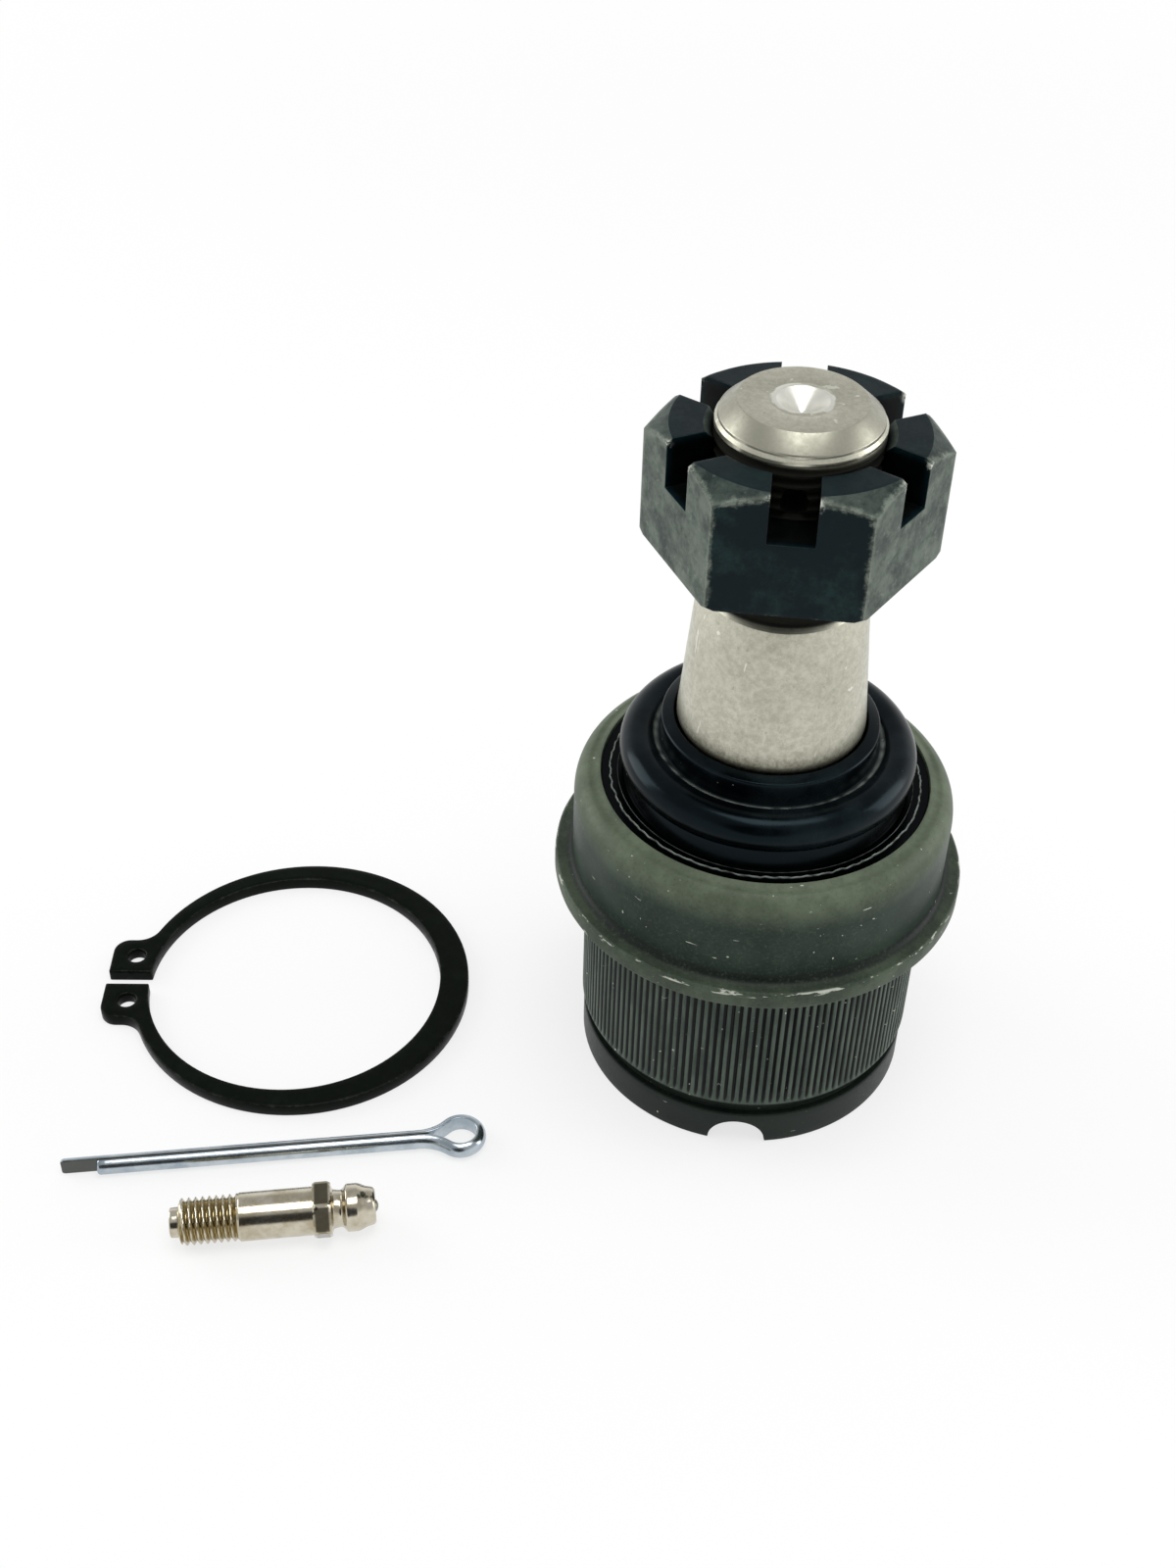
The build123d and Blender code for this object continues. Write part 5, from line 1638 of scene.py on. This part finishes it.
@dataclass
class GreaseFitting:
    """The grease fitting: threaded shank, small hexagon, and a head with a sprung check ball. Sizes in mm."""

    finishes: Finishes
    place: tuple[float, float, float] = (-72.76, -51.88, 3.5)
    turn: float = 14.75
    thread_radius: float = 3.175
    thread_pitch: float = 0.907
    thread_depth: float = 0.52
    thread_crest: float = 0.07
    thread_flank: float = 0.36
    thread_floor: float = 2.0
    thread_start: float = 1.1
    thread_end: float = 9.2
    hex_start: float = 19.05
    hex_end: float = 21.5
    hex_flat: float = 3.5
    length: float = 27.4

    def line(self) -> np.ndarray:
        """The fitting's section as (distance from the tip, radius): outside to the nose, then back inside.

        Returns:
            Points of (distance, radius).
        """
        outside = rounded([
            (0.0, 0.8, 0), (0.0, 2.0, 0.2), (1.1, 2.05, 0), (1.45, self.thread_radius, 0.1),
            (9.2, self.thread_radius, 0), (9.3, 3.25, 0), (19.05, 3.25, 0),
            (19.06, 3.62, 0), (19.45, 4.05, 0), (21.1, 4.05, 0), (21.49, 3.62, 0), (21.5, 3.2, 0.1),
            (21.75, 2.62, 0.3), (22.9, 2.42, 0.6), (23.55, 3.22, 0.35), (25.0, 3.22, 0.35), (25.5, 3.05, 0.3),
            (26.2, 2.72, 0.4), (27.15, 2.5, 0.3), (27.4, 2.2, 0.12), (27.4, 1.25, 0.1), (27.25, 0.98, 0),
        ])
        inside = np.array([[26.65, 1.25], [21.0, 1.25], [20.5, 0.8], [0.05, 0.8]])
        return np.concatenate([subdivided(outside, 0.45), subdivided(inside, 2.5)])

    def build(self) -> list[Object]:
        """Makes the fitting as one grid about its axis.

        Along the hexagon the radius at an angle a is the lesser of the section's radius and flat / cos(d),
        for the angle d between a and the nearest flat's middle. The thread is a helical groove, as deep as
        its V-shaped section says.

        Returns:
            The fitting, alone in a list.
        """
        line = self.line()
        fine = np.arange(self.thread_start + 0.1, self.thread_end, self.thread_pitch / 10)
        tip = line[:, 0] < self.thread_start + 0.05
        outer_count = int(np.argmax(line[:, 0] >= self.length - 1e-6)) + 1
        order = np.arange(len(line))
        front = line[(order < outer_count) & tip]
        body = line[(order < outer_count) & ~tip]
        threaded = np.stack([fine, np.interp(fine, line[:outer_count, 0], line[:outer_count, 1])], 1)
        body = np.concatenate([threaded, body[body[:, 0] > fine[-1] + 0.02]])
        line = np.concatenate([front, body, line[outer_count:]])
        outside = np.arange(len(line))[:, None] < len(front) + len(body)
        angle = np.linspace(0, TAU, 144, endpoint=False)
        x, r = line[:, :1], line[:, 1:]
        turn = (x / self.thread_pitch - angle / TAU) % 1
        groove = np.clip((0.5 - np.abs(turn - 0.5) - self.thread_crest) / self.thread_flank, 0, 1)
        fade = np.clip((x - self.thread_start - 0.1) / 0.5, 0, 1)
        fade = fade * np.clip((self.thread_end - x) / 0.5, 0, 1)
        radius = r - self.thread_depth * groove * fade * outside
        off = (angle + math.pi / 6) % (math.pi / 3) - math.pi / 6
        on_hex = (x > self.hex_start) & (x < self.hex_end) & outside
        radius = np.where(on_hex, np.minimum(radius, self.hex_flat / np.cos(off)), radius)
        up, side = radius * np.cos(angle), radius * np.sin(angle)
        yaw = math.radians(self.turn)
        points = np.stack([
            self.place[0] + x * math.cos(yaw) + side * math.sin(yaw),
            self.place[1] + x * math.sin(yaw) - side * math.cos(yaw),
            self.place[2] + up,
        ], -1)
        piece = grid_object("plated_fitting", points, close_rows=True, sharp_degrees=30)
        at = points_of(piece) - np.array(self.place)
        along = at[:, 0] * math.cos(yaw) + at[:, 1] * math.sin(yaw)
        out = np.hypot(at[:, 0] * math.sin(yaw) - at[:, 1] * math.cos(yaw), at[:, 2])
        on_hex = (along > self.hex_start + 0.3) & (along < self.hex_end - 0.3)
        mark(piece, "aged_and_gap_shade", on_hex & (out > self.hex_flat - 0.05) & (out < self.hex_flat + 0.42))
        on_thread = (along > self.thread_start + 0.2) & (along < self.thread_end) & (out > self.thread_floor)
        mark(piece, "groove", np.clip((self.thread_radius - 0.08 - out) / 0.3, 0, 1) * on_thread)
        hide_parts("grease_fitting")
        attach(piece, "fitting")
        self.finishes.put(piece, Finish.NICKEL)
        self.finishes.put(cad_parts["fitting_check_ball"], Finish.STUD)
        self.finishes.put(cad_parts["fitting_spring"], Finish.SPRING)
        return [piece]


# ----------------------------------------------------------------------------------------------------------
# The studio
# ----------------------------------------------------------------------------------------------------------


@dataclass(frozen=True)
class Lamp:
    """A soft area lamp. Places and sizes in metres, power in watts."""

    name: str
    place: Place
    size: tuple[float, float]
    power: float
    target: Place = (0.0, 0.0, 0.05)
    colour: Colour = (1.0, 1.0, 1.0)

    def hang(self) -> Object:
        """Adds the lamp, turned to its target.

        Returns:
            The lamp's object.
        """
        light = bpy.data.lights.new(self.name, "AREA")
        light.shape = "RECTANGLE"
        light.size, light.size_y = self.size
        light.energy = self.power
        light.color = self.colour
        lamp = linked(self.name, light)
        lamp.location = self.place
        away = Vector(self.place) - Vector(self.target)
        lamp.rotation_euler = away.to_track_quat("Z", "Y").to_euler()
        return lamp


@dataclass
class Studio:
    """White floor, a white surround with a dim patch high in front, soft lamps, and the camera.

    Lengths are in metres, and the lens and its frame in millimetres. The floor and the surround have
    strengths, of which 1 is white. The camera looks against back, with up and right as its other two
    directions.
    """

    horizon: float = 1.0
    dome: float = 0.55
    horizon_end: float = 0.16
    dome_start: float = 0.60
    dim_heading: Place = (0.0, -0.883, 0.469)
    dim_start: float = 0.88
    dim_full: float = 0.96
    dim: float = 0.05
    floor_reach: float = 3.0
    floor_shade: Colour = (0.9, 0.9, 0.9)
    floor_glow: float = 0.72
    glow_near: float = 0.22
    glow_far: float = 0.55
    lens: float = 45.0
    lens_frame: float = 36.0
    nearest: float = 0.005
    eye: Place = (0.0, -0.20578, 0.21942)
    right: Place = (0.99075874, 0.13400999, 0.02093912)
    up: Place = (-0.1025341, 0.63892616, 0.76240417)
    back: Place = (0.08879122, -0.75750557, 0.64676227)

    def floor(self) -> Object:
        """Lays a white floor, far larger than the view, with a lighter shadow where it is seen or mirrored.

        Returns:
            The floor.
        """
        mesh = bpy.data.meshes.new("studio_floor")
        far = self.floor_reach
        mesh.from_pydata([(-far, -far, 0), (far, -far, 0), (far, far, 0), (-far, far, 0)], [], [(0, 1, 2, 3)])
        made = linked("studio_floor", mesh)
        g = Graph("studio_floor")
        g.shade(base_color=self.floor_shade, roughness=0.9, specular_ior_level=0.0)
        rays = g.add("ShaderNodeLightPath").outputs
        seen = g.most(g.most(rays["Is Camera Ray"], rays["Is Glossy Ray"]), rays["Is Transmission Ray"])
        glow = g.spread(g.radius(), self.glow_near, self.glow_far, self.floor_glow, 1.0)
        white = g.add("ShaderNodeEmission")
        mixed = g.add("ShaderNodeMixShader")
        g.fill(mixed, {0: g.times(seen, glow), 1: g.shader.outputs[0], 2: white.outputs[0]})
        g.put(g.tree.nodes["Material Output"].inputs["Surface"], mixed.outputs[0])
        mesh.materials.append(g.material)
        return made

    def world(self) -> None:
        """Makes the surroundings: white round the horizon, softer overhead, and dim high in front."""
        world = bpy.data.worlds.new("studio")
        bpy.context.scene.world = world
        world.use_nodes = True
        sky = Nodes(world.node_tree)
        heading = sky.add("ShaderNodeTexCoord").outputs["Generated"]
        split = sky.add("ShaderNodeSeparateXYZ")
        sky.put(split.inputs[0], heading)
        toward = sky.add("ShaderNodeVectorMath", operation="DOT_PRODUCT")
        sky.fill(toward, {0: heading, 1: self.dim_heading})
        even = sky.spread(split.outputs["Z"], self.horizon_end, self.dome_start, self.horizon, self.dome)
        level = sky.spread(toward.outputs["Value"], self.dim_start, self.dim_full, even, self.dim)
        sky.fill(sky.tree.nodes["Background"], {"Color": (1, 1, 1, 1), "Strength": level})

    def lamps(self) -> list[Object]:
        """Hangs the lamps.

        Returns:
            The lamps.
        """
        wanted = (
            Lamp("overhead_softbox", (0.05, -0.08, 0.79), (0.50, 0.40), 2.5),
            Lamp("left_softbox", (-0.70, 0.16, 0.28), (0.40, 0.5), 1.95),
            Lamp("right_softbox", (0.70, 0.16, 0.28), (0.40, 0.5), 1.95),
        )
        return [lamp.hang() for lamp in wanted]

    def camera(self) -> Object:
        """Sets the camera in front of the joint and above it, leaning a little.

        Returns:
            The camera.
        """
        data = bpy.data.cameras.new("camera")
        data.lens = self.lens
        data.sensor_width = self.lens_frame
        data.clip_start = self.nearest
        made = linked("camera", data)
        turn = Matrix((self.right, self.up, self.back)).transposed().to_4x4()
        made.matrix_world = Matrix.Translation(self.eye) @ turn
        bpy.context.scene.camera = made
        return made

    def build(self) -> None:
        """Sets the whole studio up."""
        self.floor()
        self.world()
        self.lamps()
        self.camera()
        bpy.context.scene.view_settings.view_transform = "Standard"


def main() -> None:
    logging.basicConfig(level=logging.INFO, format="%(name)s: %(message)s")
    finishes = Finishes()
    body = Body(finishes)
    made = [body.build(), *body.dress_the_inside()]
    made += [Stud(finishes).build(), *Boot(finishes).build(), Nut(finishes).build()]
    made += [SnapRing(finishes).build(), CotterPin(finishes).build(), *GreaseFitting(finishes).build()]
    for piece in made:
        LOG.info("%s: %d faces", piece.name, len(piece.data.polygons))
    Studio().build()


if __name__ == "__main__":
    main()
